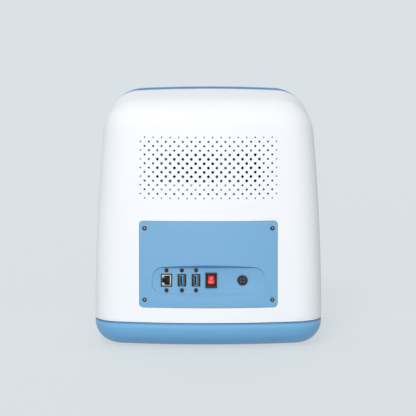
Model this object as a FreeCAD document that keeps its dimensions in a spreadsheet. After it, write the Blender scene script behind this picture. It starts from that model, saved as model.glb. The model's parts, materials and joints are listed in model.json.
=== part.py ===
import FreeCAD, Part
import math
import os
import Sketcher
from FreeCAD import Placement, Rotation, Vector

# Automated cell counter, a bench instrument that photographs cells on a slide.
# Millimetres, +Z up. The back, with the sockets, faces +Y, and the touch screen faces -Y.
# The origin is the middle of the footprint, on the bench.

SIZES = {
    # Overall form
    "body_width": 311, "body_depth": 300, "foot_height": 3, "base_height": 34,
    "shell_height": 301.9, "front_lean": 12.6, "wall": 3, "seam_gap": 0.6, "fit_gap": 0.3,
    # Arched section of the upper shell and its double-curved back
    "side_radius": 2850, "shoulder_radius": 48, "crown_radius": 2000,
    "rear_bulge": 560, "rear_sweep": 1500, "rear_edge_radius": 42,
    # Base
    "base_wall": 4.5, "base_edge_radius": 31, "lip_width": 1.2, "lip_height": 3,
    "grip_radius": 6, "grip_angle": 60, "grip_length": 110, "grip_end": 100, "grip_wall": 3,
    "foot_radius": 10, "foot_recess": 1, "foot_x": 100, "foot_front_y": -105, "foot_rear_y": 75,
    # Front bezel and screen
    "bezel_thickness": 12, "bezel_rise": 2.4, "bezel_shoulder": 54,
    "glass_width": 236, "glass_height": 150, "glass_thickness": 3, "glass_centre": 178,
    "glass_corner": 8, "bond_line": 0.2, "lcd_width": 222, "lcd_height": 138, "lcd_thickness": 8,
    "bracket_sheet": 1.5, "bracket_margin": 9, "bracket_border": 34, "slot_width": 108,
    "slot_height": 20, "slot_rise": 43, "cap_gap": 0.4,
    # Vent
    "vent_pitch_x": 11.55, "vent_pitch_z": 5.83, "vent_low": 207.1, "vent_rows": 15,
    "vent_short_row": 16, "vent_large": 1.9, "vent_medium": 1.45, "vent_small": 1.02,
    # Socket panel
    "panel_width": 187.6, "panel_height": 117.4, "panel_rise": 21.5, "panel_gap": 0.4,
    "panel_corner": 5, "ledge_width": 5, "ledge_thickness": 2.4, "pad_width": 16,
    "panel_screw_x": 6.9, "panel_screw_z": 10, "panel_head_radius": 3, "panel_head": 1.5,
    "panel_screw_radius": 1.5, "panel_screw_length": 8, "screw_slack": 0.15,
    "port_rise": 37, "pocket_length": 152.2, "pocket_height": 33.6, "pocket_corner": 14,
    "pocket_depth": 6.4, "pocket_draft": 37, "pocket_reach": 12,
    # Network socket
    "lan_x": 57, "lan_width": 15, "lan_height": 17.4, "lan_proud": 0.6, "lan_depth": 24,
    "lan_rim": 0.7, "lan_mouth_width": 7, "lan_mouth_height": 11.8, "lan_latch_width": 2.6,
    "lan_latch_height": 6.2, "lan_face": 1, "lan_can": 0.5, "lan_mouth_depth": 14,
    "ear_height": 38, "ear_thickness": 3, "contact_pitch": 1.02, "contact_width": 0.45,
    # Two data sockets
    "usb_x": 36, "usb_spacing": 19.2, "usb_width": 11.3, "usb_height": 16.6, "usb_depth": 24,
    "usb_shell_width": 6.2, "usb_shell_height": 14.2, "usb_sheet": 0.6, "usb_mouth_depth": 12,
    "usb_tongue_width": 1.9, "usb_tongue_height": 11.2, "usb_tongue_offset": 0.8,
    "usb_tongue_inset": 1.4,
    # Screws of the sockets
    "port_screw_spacing": 27.4, "port_head_radius": 2.75, "port_head": 1.7, "port_screw_radius": 1.45,
    "port_screw_length": 7,
    # Rocker switch
    "switch_x": 3.7, "switch_width": 15.9, "switch_height": 21, "switch_rim": 2,
    "switch_body_width": 13, "switch_body_height": 19, "switch_depth": 17, "rocker_width": 10.6,
    "rocker_radius": 7.5, "rocker_gap": 0.35, "rocker_dip": 1.4, "rocker_end": 3, "rocker_tip": 5.3,
    "rocker_axis": 0.5, "rocker_tilt": 10, "rocker_back": 3.5, "terminal_length": 8,
    # Power inlet
    "inlet_x": 46.2, "inlet_radius": 7.1, "inlet_rim": 1.4, "inlet_barrel": 5.6, "inlet_depth": 16,
    "inlet_nut_radius": 8, "inlet_nut": 2.5, "pin_circle": 3, "pin_radius": 0.6,
    # Fan
    "fan_x": 19, "fan_height": 241, "fan_size": 60, "fan_depth": 25, "fan_bore": 28.5,
    "fan_hole_spacing": 50, "fan_hole_radius": 2.15, "fan_hub": 13, "fan_hub_depth": 18,
    "fan_disc": 3, "fan_strut": 3, "blade_count": 7, "blade_thickness": 1.4, "blade_gap": 1,
    "fan_bracket_width": 100, "fan_bracket_y": 96, "fan_bracket_foot": 18, "baffle_low": 217,
    "baffle_height": 10, "baffle_gap": 0.3, "fan_screw_radius": 2, "fan_head_radius": 3.6,
    # Chassis
    "chassis_level": 41, "sheet": 2, "chassis_width": 244, "chassis_front": -118,
    "chassis_rear": 112, "post_radius": 5, "post_x": 110, "post_front_y": -100,
    "post_rear_y": 95, "small_screw_radius": 1.5, "small_head_radius": 2.9, "small_head": 2,
    "small_screw_length": 8, "board_width": 150, "board_front": 22, "board_rear": 92,
    "board_sheet": 1.6, "standoff": 8, "standoff_radius": 3, "standoff_inset": 5,
    "sink_size": 44, "sink_height": 16, "sink_foot": 3, "fin_thickness": 2, "fin_count": 7,
    "connector_height": 9, "connector_depth": 8,
    # Slide tray and its drive
    "optical_y": -66, "bed_width": 128, "bed_front": -121, "bed_rear": 46, "bed_level": 76,
    "bed_thickness": 4, "bed_post_radius": 4, "bed_post_x": 58, "bed_post_front_y": -108,
    "bed_post_rear_y": 8, "rail_x": 40, "rail_width": 6, "rail_height": 6, "rail_gap": 0.1,
    "bearing_width": 14, "bearing_half_length": 20, "bearing_drop": 0.4, "tray_level": 88,
    "tray_thickness": 4, "tray_width": 100, "tray_rear": 24, "tray_front": -126,
    "slide_length": 76.4, "slide_width": 26.4, "slide_recess": 1.2, "slide_ledge": 4,
    "tray_travel": 98, "screw_x": 57, "screw_radius": 3, "nut_width": 12, "nut_half_length": 10,
    "ear_half_length": 12, "run_gap": 0.1, "screw_bearing": 5, "tray_motor_size": 28,
    "tray_motor_length": 32, "motor_boss_radius": 7, "motor_plate": 4,
    # Optics
    "frame_width": 176, "frame_leg": 16, "frame_y": -36, "frame_thickness": 8,
    "frame_arch": 118, "frame_top": 236, "frame_foot": 20, "frame_foot_height": 6,
    "lamp_size": 36, "lamp_foot": 10, "lamp_radius": 12, "lamp_top": 74, "lens_radius": 10,
    "lens_height": 3, "focus_rail_width": 10, "focus_rail_depth": 6, "focus_rail_low": 130,
    "focus_rail_high": 225, "carriage_width": 44, "carriage_low": 150, "carriage_high": 200,
    "carriage_front": -56, "clamp_radius": 18, "clamp_inset": 10, "tube_radius": 13,
    "objective_low": 97, "objective_tip": 7, "objective_nose": 9, "objective_body": 11.5,
    "camera_size": 30, "camera_height": 26, "focus_screw_x": 14, "focus_screw_y": -47,
    "focus_screw_radius": 2.5, "focus_screw_low": 140, "focus_plate": 4, "focus_motor_size": 20,
    "focus_motor_length": 30,
}

doc = FreeCAD.newDocument("cell_counter")
sheet = doc.addObject("Spreadsheet::Sheet", "sizes")
for row, (alias, number) in enumerate(SIZES.items(), start=1):
    sheet.set(f"A{row}", alias)
    sheet.set(f"B{row}", str(number))
    sheet.setAlias(f"B{row}", alias)
doc.recompute()


class Amount:
    """A length or angle: its number now, and the formula on the sheet that keeps giving it."""

    def __init__(self, number, formula):
        self.number = float(number)
        self.formula = formula

    def __add__(self, other):
        return combined(self, "+", other, lambda a, b: a + b)

    def __radd__(self, other):
        return combined(other, "+", self, lambda a, b: a + b)

    def __sub__(self, other):
        return combined(self, "-", other, lambda a, b: a - b)

    def __rsub__(self, other):
        return combined(other, "-", self, lambda a, b: a - b)

    def __mul__(self, other):
        return combined(self, "*", other, lambda a, b: a * b)

    def __rmul__(self, other):
        return combined(other, "*", self, lambda a, b: a * b)

    def __truediv__(self, other):
        return combined(self, "/", other, lambda a, b: a / b)

    def __neg__(self):
        return Amount(-self.number, f"(0 - {self.formula})")

    def __float__(self):
        return self.number


def amount(value):
    """Plain numbers join in as they are."""
    return value if isinstance(value, Amount) else Amount(value, f"({float(value)!r})")


def combined(first, sign, second, rule):
    a = amount(first)
    b = amount(second)
    return Amount(rule(a.number, b.number), f"({a.formula} {sign} {b.formula})")


def root(value):
    return Amount(math.sqrt(value.number), f"sqrt({value.formula})")


def sine(angle):
    return Amount(math.sin(math.radians(angle.number)), f"sin({angle.formula})")


def cosine(angle):
    return Amount(math.cos(math.radians(angle.number)), f"cos({angle.formula})")


def tangent(angle):
    return Amount(math.tan(math.radians(angle.number)), f"tan({angle.formula})")


def size(alias):
    return Amount(float(sheet.get(alias)), f"sizes.{alias}")


def bind(thing, name, value):
    """Set a property and tie it to its formula."""
    thing.setExpression(name, amount(value).formula)


def place(thing, x=0, y=0, z=0, rotation=None):
    thing.Placement = Placement(Vector(float(x), float(y), float(z)), rotation or Rotation())
    for letter, value in (("x", x), ("y", y), ("z", z)):
        bind(thing, f"Placement.Base.{letter}", value)


# Solids that the rest is made of

TOWARDS = {
    "x": Rotation(Vector(0, 1, 0), 90),
    "y": Rotation(Vector(1, 0, 0), -90),
    "z": Rotation(),
}


def block(name, across, along, up):
    """A box from three pairs of low and high bounds."""
    box = doc.addObject("Part::Box", name)
    for side, (low, high) in (("Length", across), ("Width", along), ("Height", up)):
        bind(box, side, amount(high) - low)
    place(box, across[0], along[0], up[0])
    return box


SMALL = 6


def round_bar(name, length, radius, sides=None):
    """A cylinder, or a many-sided bar where a small piece repeats."""
    if sides is None:
        bar = doc.addObject("Part::Cylinder", name)
        bind(bar, "Radius", radius)
    else:
        bar = doc.addObject("Part::Prism", name)
        bar.Polygon = sides
        bind(bar, "Circumradius", radius)
    bind(bar, "Height", length)
    return bar


def rod(name, axis, centre, reach, radius, sides=None):
    """A bar along x, y or z: centre gives the other two coordinates in order."""
    bar = round_bar(name, amount(reach[1]) - reach[0], radius, sides)
    spot = list(centre)
    spot.insert("xyz".index(axis), reach[0])
    place(bar, *spot, rotation=TOWARDS[axis])
    return bar


def taper(name, centre, reach, low_radius, high_radius):
    """An upright cone."""
    cone = doc.addObject("Part::Cone", name)
    bind(cone, "Radius1", low_radius)
    bind(cone, "Radius2", high_radius)
    bind(cone, "Height", amount(reach[1]) - reach[0])
    place(cone, centre[0], centre[1], reach[0])
    return cone


def cut(name, base, *tools):
    for number, tool in enumerate(tools, start=1):
        last = number == len(tools)
        step = doc.addObject("Part::Cut", name if last else f"{name}_cut_{number}")
        step.Base = base
        step.Tool = tool
        base = step
    return base


def fuse(name, *pieces):
    joined = doc.addObject("Part::MultiFuse", name)
    joined.Shapes = list(pieces)
    joined.Refine = True
    return joined


def common(name, first, second):
    shared = doc.addObject("Part::Common", name)
    shared.Base = first
    shared.Tool = second
    return shared


def group(name, *pieces):
    """Separate solids that are bought and fitted as a set."""
    together = doc.addObject("Part::Compound", name)
    together.Links = list(pieces)
    return together


# Sketches

def sketch_on(body, role, name, offset=0):
    sketch = body.newObject("Sketcher::SketchObject", name)
    plane = next(f for f in body.Origin.OriginFeatures if f.Role == role)
    sketch.AttachmentSupport = (plane, [""])
    sketch.MapMode = "FlatFace"
    bind(sketch, "AttachmentOffset.Base.z", offset)
    return sketch


def fix_point(sketch, geometry, point, across, up):
    """Dimension one point of a sketch from its origin."""
    for kind, value, axis in (("DistanceX", across, -2), ("DistanceY", up, -1)):
        value = amount(value)
        if abs(value.number) < 1e-9:
            sketch.addConstraint(Sketcher.Constraint("PointOnObject", geometry, point, axis))
            continue
        spot = sketch.addConstraint(
            Sketcher.Constraint(kind, -1, 1, geometry, point, value.number))
        bind(sketch, f"Constraints[{spot}]", value)


def fix_radius(sketch, geometry, radius):
    spot = sketch.addConstraint(Sketcher.Constraint("Radius", geometry, float(radius)))
    bind(sketch, f"Constraints[{spot}]", radius)


def polygon(sketch, points):
    """A closed outline with straight sides, every corner dimensioned."""
    spots = [Vector(float(a), float(b), 0) for a, b in points]
    for spot, following in zip(spots, spots[1:] + spots[:1]):
        sketch.addGeometry(Part.LineSegment(spot, following))
    count = len(points)
    for i, (across, up) in enumerate(points):
        sketch.addConstraint(Sketcher.Constraint("Coincident", (i - 1) % count, 2, i, 1))
        fix_point(sketch, i, 1, across, up)


def rounded(sketch, across, up, radius):
    """A rectangle with round corners."""
    x0, x1, y0, y1 = (amount(v) for v in (*across, *up))
    r = amount(radius)
    lines = [((x0 + r, y0), (x1 - r, y0)), ((x1, y0 + r), (x1, y1 - r)),
             ((x1 - r, y1), (x0 + r, y1)), ((x0, y1 - r), (x0, y0 + r))]
    centres = [(x1 - r, y0 + r), (x1 - r, y1 - r), (x0 + r, y1 - r), (x0 + r, y0 + r)]
    for i, (start, end) in enumerate(lines):
        side = Part.LineSegment(Vector(*map(float, start), 0), Vector(*map(float, end), 0))
        sketch.addGeometry(side)
        circle = Part.Circle(Vector(*map(float, centres[i]), 0), Vector(0, 0, 1), r.number)
        quarter = math.pi / 2
        sketch.addGeometry(Part.ArcOfCircle(circle, (i - 1) * quarter, i * quarter))
    for i, (start, end) in enumerate(lines):
        line = 2 * i
        corner = line + 1
        sketch.addConstraint(Sketcher.Constraint("Coincident", line, 2, corner, 1))
        sketch.addConstraint(Sketcher.Constraint("Coincident", corner, 2, (line + 2) % 8, 1))
        fix_point(sketch, line, 1, *start)
        fix_point(sketch, line, 2, *end)
        fix_radius(sketch, corner, r)


def prism(name, across, up, radius, along):
    """A bar along Y whose section is a rectangle with round corners."""
    sketch = doc.addObject("Sketcher::SketchObject", f"{name}_outline")
    rounded(sketch, across, up, radius)
    place(sketch, 0, along[0], 0, rotation=Rotation(Vector(1, 0, 0), 90))
    bar = doc.addObject("Part::Extrusion", name)
    bar.Base = sketch
    bar.DirMode = "Custom"
    bar.Dir = Vector(0, 1, 0)
    bind(bar, "LengthFwd", amount(along[1]) - along[0])
    bar.Solid = True
    return bar


def meeting(first, first_radius, second, second_radius):
    """The right-hand crossing of two circles."""
    gap = math.dist(first, second)
    along = (first_radius ** 2 - second_radius ** 2 + gap ** 2) / (2 * gap)
    off = math.sqrt(first_radius ** 2 - along ** 2)
    ux = (second[0] - first[0]) / gap
    uy = (second[1] - first[1]) / gap
    both = [(first[0] + along * ux - side * off * uy, first[1] + along * uy + side * off * ux)
            for side in (1, -1)]
    return max(both)


def pushed(centre, through, radius):
    """The point of a circle that lies from its centre towards another point."""
    gap = math.dist(centre, through)
    return tuple(c + (t - c) * radius / gap for c, t in zip(centre, through))


def arc_between(centre, start, end, radius):
    middle = ((start[0] + end[0]) / 2, (start[1] + end[1]) / 2)
    via = pushed(centre, middle, radius)
    return Part.Arc(Vector(*start, 0), Vector(*via, 0), Vector(*end, 0))


def tangent_chain(sketch, half, foot, side_radius, corner_radius, end_radius, end):
    """Half-round outline: flat foot, two sides, two corners and one end, each tangent to the next.

    The sides are arcs that stand square on the foot, or straight lines where side_radius is None.
    The end is an arc about the middle line whose far point is at end.
    """
    w, f, c, e, t = (float(v) for v in (half, foot, corner_radius, end_radius, end))
    end_centre = (0.0, t - e)
    if side_radius is None:
        corner_centre = (w - c, end_centre[1] + math.sqrt((e - c) ** 2 - (w - c) ** 2))
        low = (w, corner_centre[1])
    else:
        s = float(side_radius)
        side_centre = (w - s, f)
        corner_centre = meeting(side_centre, s - c, end_centre, e - c)
        low = pushed(side_centre, corner_centre, s)
    high = pushed(end_centre, corner_centre, e)

    def mirrored(point):
        return (-point[0], point[1])

    def side(start, finish, centre):
        if side_radius is None:
            return Part.LineSegment(Vector(*start, 0), Vector(*finish, 0))
        return arc_between(centre, start, finish, float(side_radius))

    right_foot = (w, f)
    left_foot = (-w, f)
    centre = None if side_radius is None else side_centre
    mirror_centre = None if side_radius is None else mirrored(side_centre)
    sketch.addGeometry([
        Part.LineSegment(Vector(*left_foot, 0), Vector(*right_foot, 0)),
        side(right_foot, low, centre),
        arc_between(corner_centre, low, high, c),
        Part.Arc(Vector(*high, 0), Vector(0, t, 0), Vector(*mirrored(high), 0)),
        arc_between(mirrored(corner_centre), mirrored(high), mirrored(low), c),
        side(mirrored(low), left_foot, mirror_centre),
    ])
    foot_line, right, right_corner, top, left_corner, left = range(6)
    sketch.addConstraint(Sketcher.Constraint("Coincident", foot_line, 2, right, 1))
    sketch.addConstraint(Sketcher.Constraint("Coincident", foot_line, 1, left, 2))
    fix_point(sketch, foot_line, 1, -half, foot)
    fix_point(sketch, foot_line, 2, half, foot)
    for first, second in ((right, right_corner), (right_corner, top),
                          (top, left_corner), (left_corner, left)):
        sketch.addConstraint(Sketcher.Constraint("Tangent", first, 2, second, 1))
    fix_radius(sketch, right_corner, corner_radius)
    fix_radius(sketch, left_corner, corner_radius)
    fix_radius(sketch, top, end_radius)
    fix_point(sketch, top, 3, 0, amount(end) - end_radius)
    if side_radius is None:
        sketch.addConstraint(Sketcher.Constraint("Vertical", right))
        sketch.addConstraint(Sketcher.Constraint("Vertical", left))
    else:
        fix_radius(sketch, right, side_radius)
        fix_radius(sketch, left, side_radius)


# Features of a body

def new_body(name):
    return doc.addObject("PartDesign::Body", name)


def pad(body, sketch, length, midplane=False, backwards=False):
    feature = body.newObject("PartDesign::Pad", f"{body.Name}_pad")
    feature.Profile = sketch
    bind(feature, "Length", length)
    feature.Midplane = midplane
    feature.Reversed = backwards
    return feature


def fillet(body, base, edges, radius, name):
    feature = body.newObject("PartDesign::Fillet", name)
    feature.Base = (base, edges)
    bind(feature, "Radius", radius)
    return feature


def chamfer(body, base, edges, size_across, name):
    feature = body.newObject("PartDesign::Chamfer", name)
    feature.Base = (base, edges)
    bind(feature, "Size", size_across)
    return feature


def edges_where(feature, test):
    return [f"Edge{i}" for i, edge in enumerate(feature.Shape.Edges, start=1) if test(edge)]


# Main levels and planes

half_width = size("body_width") / 2
rear = size("body_depth") / 2
front = -rear
base_low = size("foot_height")
seam = base_low + size("base_height")
shell_top = seam + size("shell_height")
lean = size("front_lean")
wall = size("wall")
port_level = seam + size("panel_rise") + size("port_rise")
sweep_axis = rear - size("rear_sweep")
BEYOND = 40


def rear_y(x, z):
    """Y of the outer skin of the back at a given x and height."""
    rise = amount(z) - seam
    bulge = size("rear_bulge")
    reach = size("rear_sweep") - bulge + root(bulge * bulge - amount(x) * x)
    return sweep_axis + root(reach * reach - rise * rise)


def front_y(z, depth=0):
    """Y of the leaning front plane at height z, or of a plane behind it at a depth square to it."""
    return front + (amount(z) - seam) * tangent(lean) + amount(depth) / cosine(lean)


def arch(name, inset, rise=0, shoulder="shoulder_radius"):
    """Pad the arched section through the whole depth, inset from the outer skin."""
    body = new_body(name)
    sketch = sketch_on(body, "XZ_Plane", f"{name}_section")
    inset = amount(inset)
    tangent_chain(sketch, half_width - inset, seam, size("side_radius") - inset,
                  size(shoulder) - inset, size("crown_radius") - inset,
                  shell_top + rise - inset)
    pad(body, sketch, size("body_depth") + 2 * BEYOND, midplane=True)
    return body


def shell_form(name, inset, rim=None):
    """The arched section cut off by the double-curved back, with its rear rim rounded or not.

    The back is an arc in plan, turned about a level axis far in front of it.
    """
    body = arch(name, inset)
    inset = amount(inset)
    sketch = sketch_on(body, "XY_Plane", f"{name}_plan", seam)
    bulge = size("rear_bulge") - inset
    side = half_width + BEYOND
    far = rear + 2 * BEYOND - sweep_axis
    middle = size("rear_sweep") - size("rear_bulge")
    edge = middle + root(bulge * bulge - side * side)

    # The sketch's own level axis is put on the axis that the back is turned about
    bind(sketch, "AttachmentOffset.Base.y", sweep_axis)
    corners = [(side, edge), (side, far), (-side, far), (-side, edge)]
    spots = [Vector(float(a), float(b), 0) for a, b in corners]
    for start, end in zip(spots[:-1], spots[1:]):
        sketch.addGeometry(Part.LineSegment(start, end))
    sketch.addGeometry(arc_between((0.0, float(middle)), (spots[0].x, spots[0].y),
                                   (spots[3].x, spots[3].y), float(bulge)))
    for i in range(2):
        sketch.addConstraint(Sketcher.Constraint("Coincident", i, 2, i + 1, 1))
    sketch.addConstraint(Sketcher.Constraint("Coincident", 2, 2, 3, 2))
    sketch.addConstraint(Sketcher.Constraint("Coincident", 0, 1, 3, 1))
    for i, corner in enumerate(corners[:3]):
        fix_point(sketch, i, 1, *corner)
    fix_point(sketch, 2, 2, *corners[3])
    fix_radius(sketch, 3, bulge)
    groove = body.newObject("PartDesign::Groove", f"{name}_back")
    groove.Profile = sketch
    groove.ReferenceAxis = (sketch, ["H_Axis"])
    groove.Angle = 360
    if rim is None:
        return body
    doc.recompute()

    def on_rear_rim(edge):
        return (min(v.Point.y for v in edge.Vertexes) > 0
                and edge.CenterOfMass.z > seam.number + 1)

    rim(body, groove, edges_where(groove, on_rear_rim), size("rear_edge_radius") - inset,
        f"{name}_rim")
    return body


def leaning_block(name, near, far, over=BEYOND):
    """A slab that leans with the front, between two depths behind its plane."""
    slab = doc.addObject("Part::Box", name)
    bind(slab, "Length", 2 * (half_width + over))
    bind(slab, "Width", amount(far) - near)
    bind(slab, "Height", 2 * size("shell_height"))
    slab.Placement = Placement(Vector(), Rotation(Vector(-1, 0, 0), float(lean)))
    bind(slab, "Placement.Rotation.Angle", lean)
    start = -size("shell_height") / 2
    bind(slab, "Placement.Base.x", -half_width - over)
    bind(slab, "Placement.Base.y", front + start * sine(lean) + amount(near) * cosine(lean))
    bind(slab, "Placement.Base.z", seam + start * cosine(lean) - amount(near) * sine(lean))
    return slab


def on_front(name, across, up, deep):
    """A box set square to the leaning front.

    up is measured along the slope from the seam, deep is measured inwards from the front plane.
    """
    piece = doc.addObject("Part::Box", name)
    across = [amount(v) for v in across]
    up = [amount(v) for v in up]
    deep = [amount(v) for v in deep]
    bind(piece, "Length", across[1] - across[0])
    bind(piece, "Width", deep[1] - deep[0])
    bind(piece, "Height", up[1] - up[0])
    piece.Placement = Placement(Vector(), Rotation(Vector(-1, 0, 0), float(lean)))
    bind(piece, "Placement.Rotation.Angle", lean)
    bind(piece, "Placement.Base.x", across[0])
    bind(piece, "Placement.Base.y", front + up[0] * sine(lean) + deep[0] * cosine(lean))
    bind(piece, "Placement.Base.z", seam + up[0] * cosine(lean) - deep[0] * sine(lean))
    return piece


def front_pin(name, x, up, deep, radius):
    """A small pin square to the leaning front, from one depth to another."""
    x, up = amount(x), amount(up)
    deep = [amount(v) for v in deep]
    pin = round_bar(name, deep[1] - deep[0], radius, SMALL)
    pin.Placement = Placement(Vector(), Rotation(Vector(-1, 0, 0), 90 + float(lean)))
    bind(pin, "Placement.Rotation.Angle", 90 + lean)
    bind(pin, "Placement.Base.x", x)
    bind(pin, "Placement.Base.y", front + up * sine(lean) + deep[0] * cosine(lean))
    bind(pin, "Placement.Base.z", seam + up * cosine(lean) - deep[0] * sine(lean))
    return pin


NODES = {}


def keep(label, piece):
    """Name a finished sub-part."""
    piece.Label = label
    NODES[label] = piece
    return piece


# Base, a tray with round lower edges

def base_form(name, inset, top):
    """The footprint with its lower side and back edges rounded, inset from the outer skin."""
    body = new_body(name)
    inset = amount(inset)
    sketch = sketch_on(body, "XY_Plane", f"{name}_plan", base_low + inset)
    tangent_chain(sketch, half_width - inset, front + inset, None,
                  size("rear_edge_radius") - inset, size("rear_bulge") - inset, rear - inset)
    solid = pad(body, sketch, amount(top) - base_low - inset)
    doc.recompute()

    def on_lower_rim(edge):
        low = abs(edge.CenterOfMass.z - float(base_low + inset)) < 1e-6
        across = edge.BoundBox.YLength < 1e-6
        return low and not across

    fillet(body, solid, edges_where(solid, on_lower_rim), size("base_edge_radius") - inset,
           f"{name}_round")
    return body


base_outside = base_form("base_outside", 0, seam)
base_hollow = base_form("base_hollow", size("base_wall"), seam + BEYOND)

# A finger groove runs along each lower side edge, with its own wall inside the base
grip_turn = size("grip_angle")
grip_x = (half_width - size("base_edge_radius")) + size("base_edge_radius") * cosine(grip_turn)
grip_z = base_low + size("base_edge_radius") - size("base_edge_radius") * sine(grip_turn)
grip_start = size("grip_end") - size("grip_length")
grips = []
grip_walls = []
for name, side in (("left", -1), ("right", 1)):
    centre = (side * grip_x, grip_z)
    grips.append(rod(f"grip_{name}", "y", centre, (grip_start, size("grip_end")),
                     size("grip_radius")))
    grip_walls.append(rod(f"grip_wall_{name}", "y", centre,
                          (grip_start - size("grip_wall"), size("grip_end") + size("grip_wall")),
                          size("grip_radius") + size("grip_wall")))
base_cavity = cut("base_cavity", base_hollow, *grip_walls)

chassis_z = size("chassis_level")
chassis_top = chassis_z + size("sheet")
post_spots = [(side * size("post_x"), along) for side in (-1, 1)
              for along in (size("post_front_y"), size("post_rear_y"))]
floor_z = base_low + size("base_wall")
posts = []
pilots = []
pilot_low = chassis_z - size("small_screw_length")
for number, spot in enumerate(post_spots, start=1):
    posts.append(rod(f"post_{number}", "z", spot, (floor_z - 1, chassis_z), size("post_radius"),
                     2 * SMALL))
    pilots.append(rod(f"pilot_{number}", "z", spot, (pilot_low, chassis_z + 1),
                      size("small_screw_radius") + size("run_gap"), SMALL))
foot_spots = [(side * size("foot_x"), along) for side in (-1, 1)
              for along in (size("foot_front_y"), size("foot_rear_y"))]
foot_top = base_low + size("foot_recess")
foot_seats = [rod(f"foot_seat_{number}", "z", spot, (base_low - 1, foot_top),
                  size("foot_radius") + size("fit_gap"))
              for number, spot in enumerate(foot_spots, start=1)]

# The lip stands inside the shell's wall and closes the seam behind its gap
lip_inset = wall + size("fit_gap")


def plan_bar(name, inset, reach):
    body = new_body(name)
    sketch = sketch_on(body, "XY_Plane", f"{name}_plan", reach[0])
    inset = amount(inset)
    tangent_chain(sketch, half_width - inset, front + inset + size("bezel_thickness"), None,
                  size("rear_edge_radius") - inset, size("rear_bulge") - inset, rear - inset)
    pad(body, sketch, amount(reach[1]) - reach[0])
    return body


# It stops at the rear corners, where the shell's wall is thicker and closes the seam itself
lip_reach = (seam - size("lip_width"), seam + size("lip_height"))
skin_end_y = (rear - size("rear_bulge")
              + root(size("rear_bulge") * size("rear_bulge") - half_width * half_width))
corner_x = half_width - size("rear_edge_radius")
lip_corners = [block(f"lip_corner_{name}", across,
                     (skin_end_y - size("rear_edge_radius"), rear),
                     (seam - size("base_height"), seam + size("base_height")))
               for name, across in (("left", (-half_width, -corner_x)),
                                    ("right", (corner_x, half_width)))]
lip = cut("base_lip", plan_bar("lip_outside", lip_inset, lip_reach),
          plan_bar("lip_inside", lip_inset + size("lip_width"),
                   (lip_reach[0] - 1, lip_reach[1] + 1)), *lip_corners)
base_shell = cut("base_shell", base_outside, base_cavity, *grips, *foot_seats)
base_solid = fuse("base_with_posts", base_shell, lip, *posts)
keep("base_tray", cut("base_tray", base_solid, *pilots))
keep("rubber_feet", group("rubber_feet", *[
    taper(f"foot_{number}", spot, (0, foot_top), size("foot_radius") - size("foot_recess"),
          size("foot_radius"))
    for number, spot in enumerate(foot_spots, start=1)]))

# Upper shell

shell_outside = shell_form("shell_outside", 0, fillet)
shell_inside = shell_form("shell_inside", wall, chamfer)
ledge_inside = shell_form("ledge_inside", wall + size("ledge_thickness"))
shell_beyond = shell_form("shell_beyond", -1)

# Front bezel: a leaning slab of the arched section, a little prouder than the shell on top

bezel_arch = arch("bezel_arch", 0, size("bezel_rise"), "bezel_shoulder")
bezel_blank = common("bezel_blank", bezel_arch, leaning_block("bezel_slab", 0, size("bezel_thickness")))

# Ledge and pads that the socket panel is screwed to

panel_low = seam + size("panel_rise")
panel_high = panel_low + size("panel_height")
panel_half = size("panel_width") / 2
back_reach = (rear - 2 * size("rear_edge_radius"), rear + BEYOND)


def panel_bar(name, margin, radius):
    """A bar through the back, around the socket panel's outline or inside it."""
    margin = amount(margin)
    return prism(name, (-panel_half - margin, panel_half + margin),
                 (panel_low - margin, panel_high + margin), radius, back_reach)


ledge_out = size("ledge_width")
ledge_ring = cut("ledge_ring", panel_bar("ledge_bar", ledge_out, size("panel_corner") + ledge_out),
                 panel_bar("ledge_hole", -ledge_out, size("fit_gap")))
pad_size = size("pad_width")
ledge_pads = []
for side, name in ((-1, "left"), (1, "right")):
    for level, edge, step in (("low", panel_low, 1), ("high", panel_high, -1)):
        outer = side * panel_half
        inner = side * (panel_half - pad_size)
        far_edge = edge + step * pad_size
        across = (outer, inner) if side < 0 else (inner, outer)
        up = (edge, far_edge) if step > 0 else (far_edge, edge)
        ledge_pads.append(block(f"ledge_pad_{name}_{level}", across, back_reach, up))
ledge_zone = fuse("ledge_zone", ledge_ring, *ledge_pads)
shell_cavity = cut("shell_cavity", shell_inside, cut("ledge", ledge_zone, ledge_inside))

panel_seat = common("panel_seat", panel_bar("panel_seat_bar", size("panel_gap"),
                                            size("panel_corner") + size("panel_gap")),
                    cut("skin_zone", shell_beyond, shell_inside))
panel_screw_spots = [(side * (panel_half - size("panel_screw_x")), level)
                     for side in (-1, 1)
                     for level in (panel_low + size("panel_screw_z"),
                                   panel_high - size("panel_screw_z"))]
ledge_pilots = [rod(f"ledge_pilot_{n}", "y", spot, (rear - 3 * pad_size, rear),
                    size("panel_screw_radius") + size("run_gap"), SMALL)
                for n, spot in enumerate(panel_screw_spots, start=1)]

# Vent: staggered rows of holes that shrink towards the edges of the field


def hole(x, z, radius, sides):
    """A straight many-sided hole through the back wall."""
    ring = [Vector(x + radius * math.cos(2 * math.pi * (k + 0.5) / sides), 0,
                   z + radius * math.sin(2 * math.pi * (k + 0.5) / sides))
            for k in range(sides)]
    face = Part.Face(Part.makePolygon(ring + ring[:1]))
    face.translate(Vector(0, float(rear) - 2 * float(size("rear_edge_radius")), 0))
    return face.extrude(Vector(0, 3 * float(size("rear_edge_radius")), 0))


def vent_radius(row_number, column, columns):
    """Outer rows and columns are small, the next ones medium and the middle ones large."""
    last = int(float(size("vent_rows"))) - 1
    from_row_end = min(row_number, last - row_number)
    from_column_end = min(column, columns - 1 - column)
    short = columns == int(float(size("vent_short_row")))
    if from_row_end == 0 or (from_column_end == 0 and not short):
        return size("vent_small")
    edge_columns = 2
    if from_row_end <= 3 or from_column_end < edge_columns:
        return size("vent_medium")
    return size("vent_large")


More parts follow.
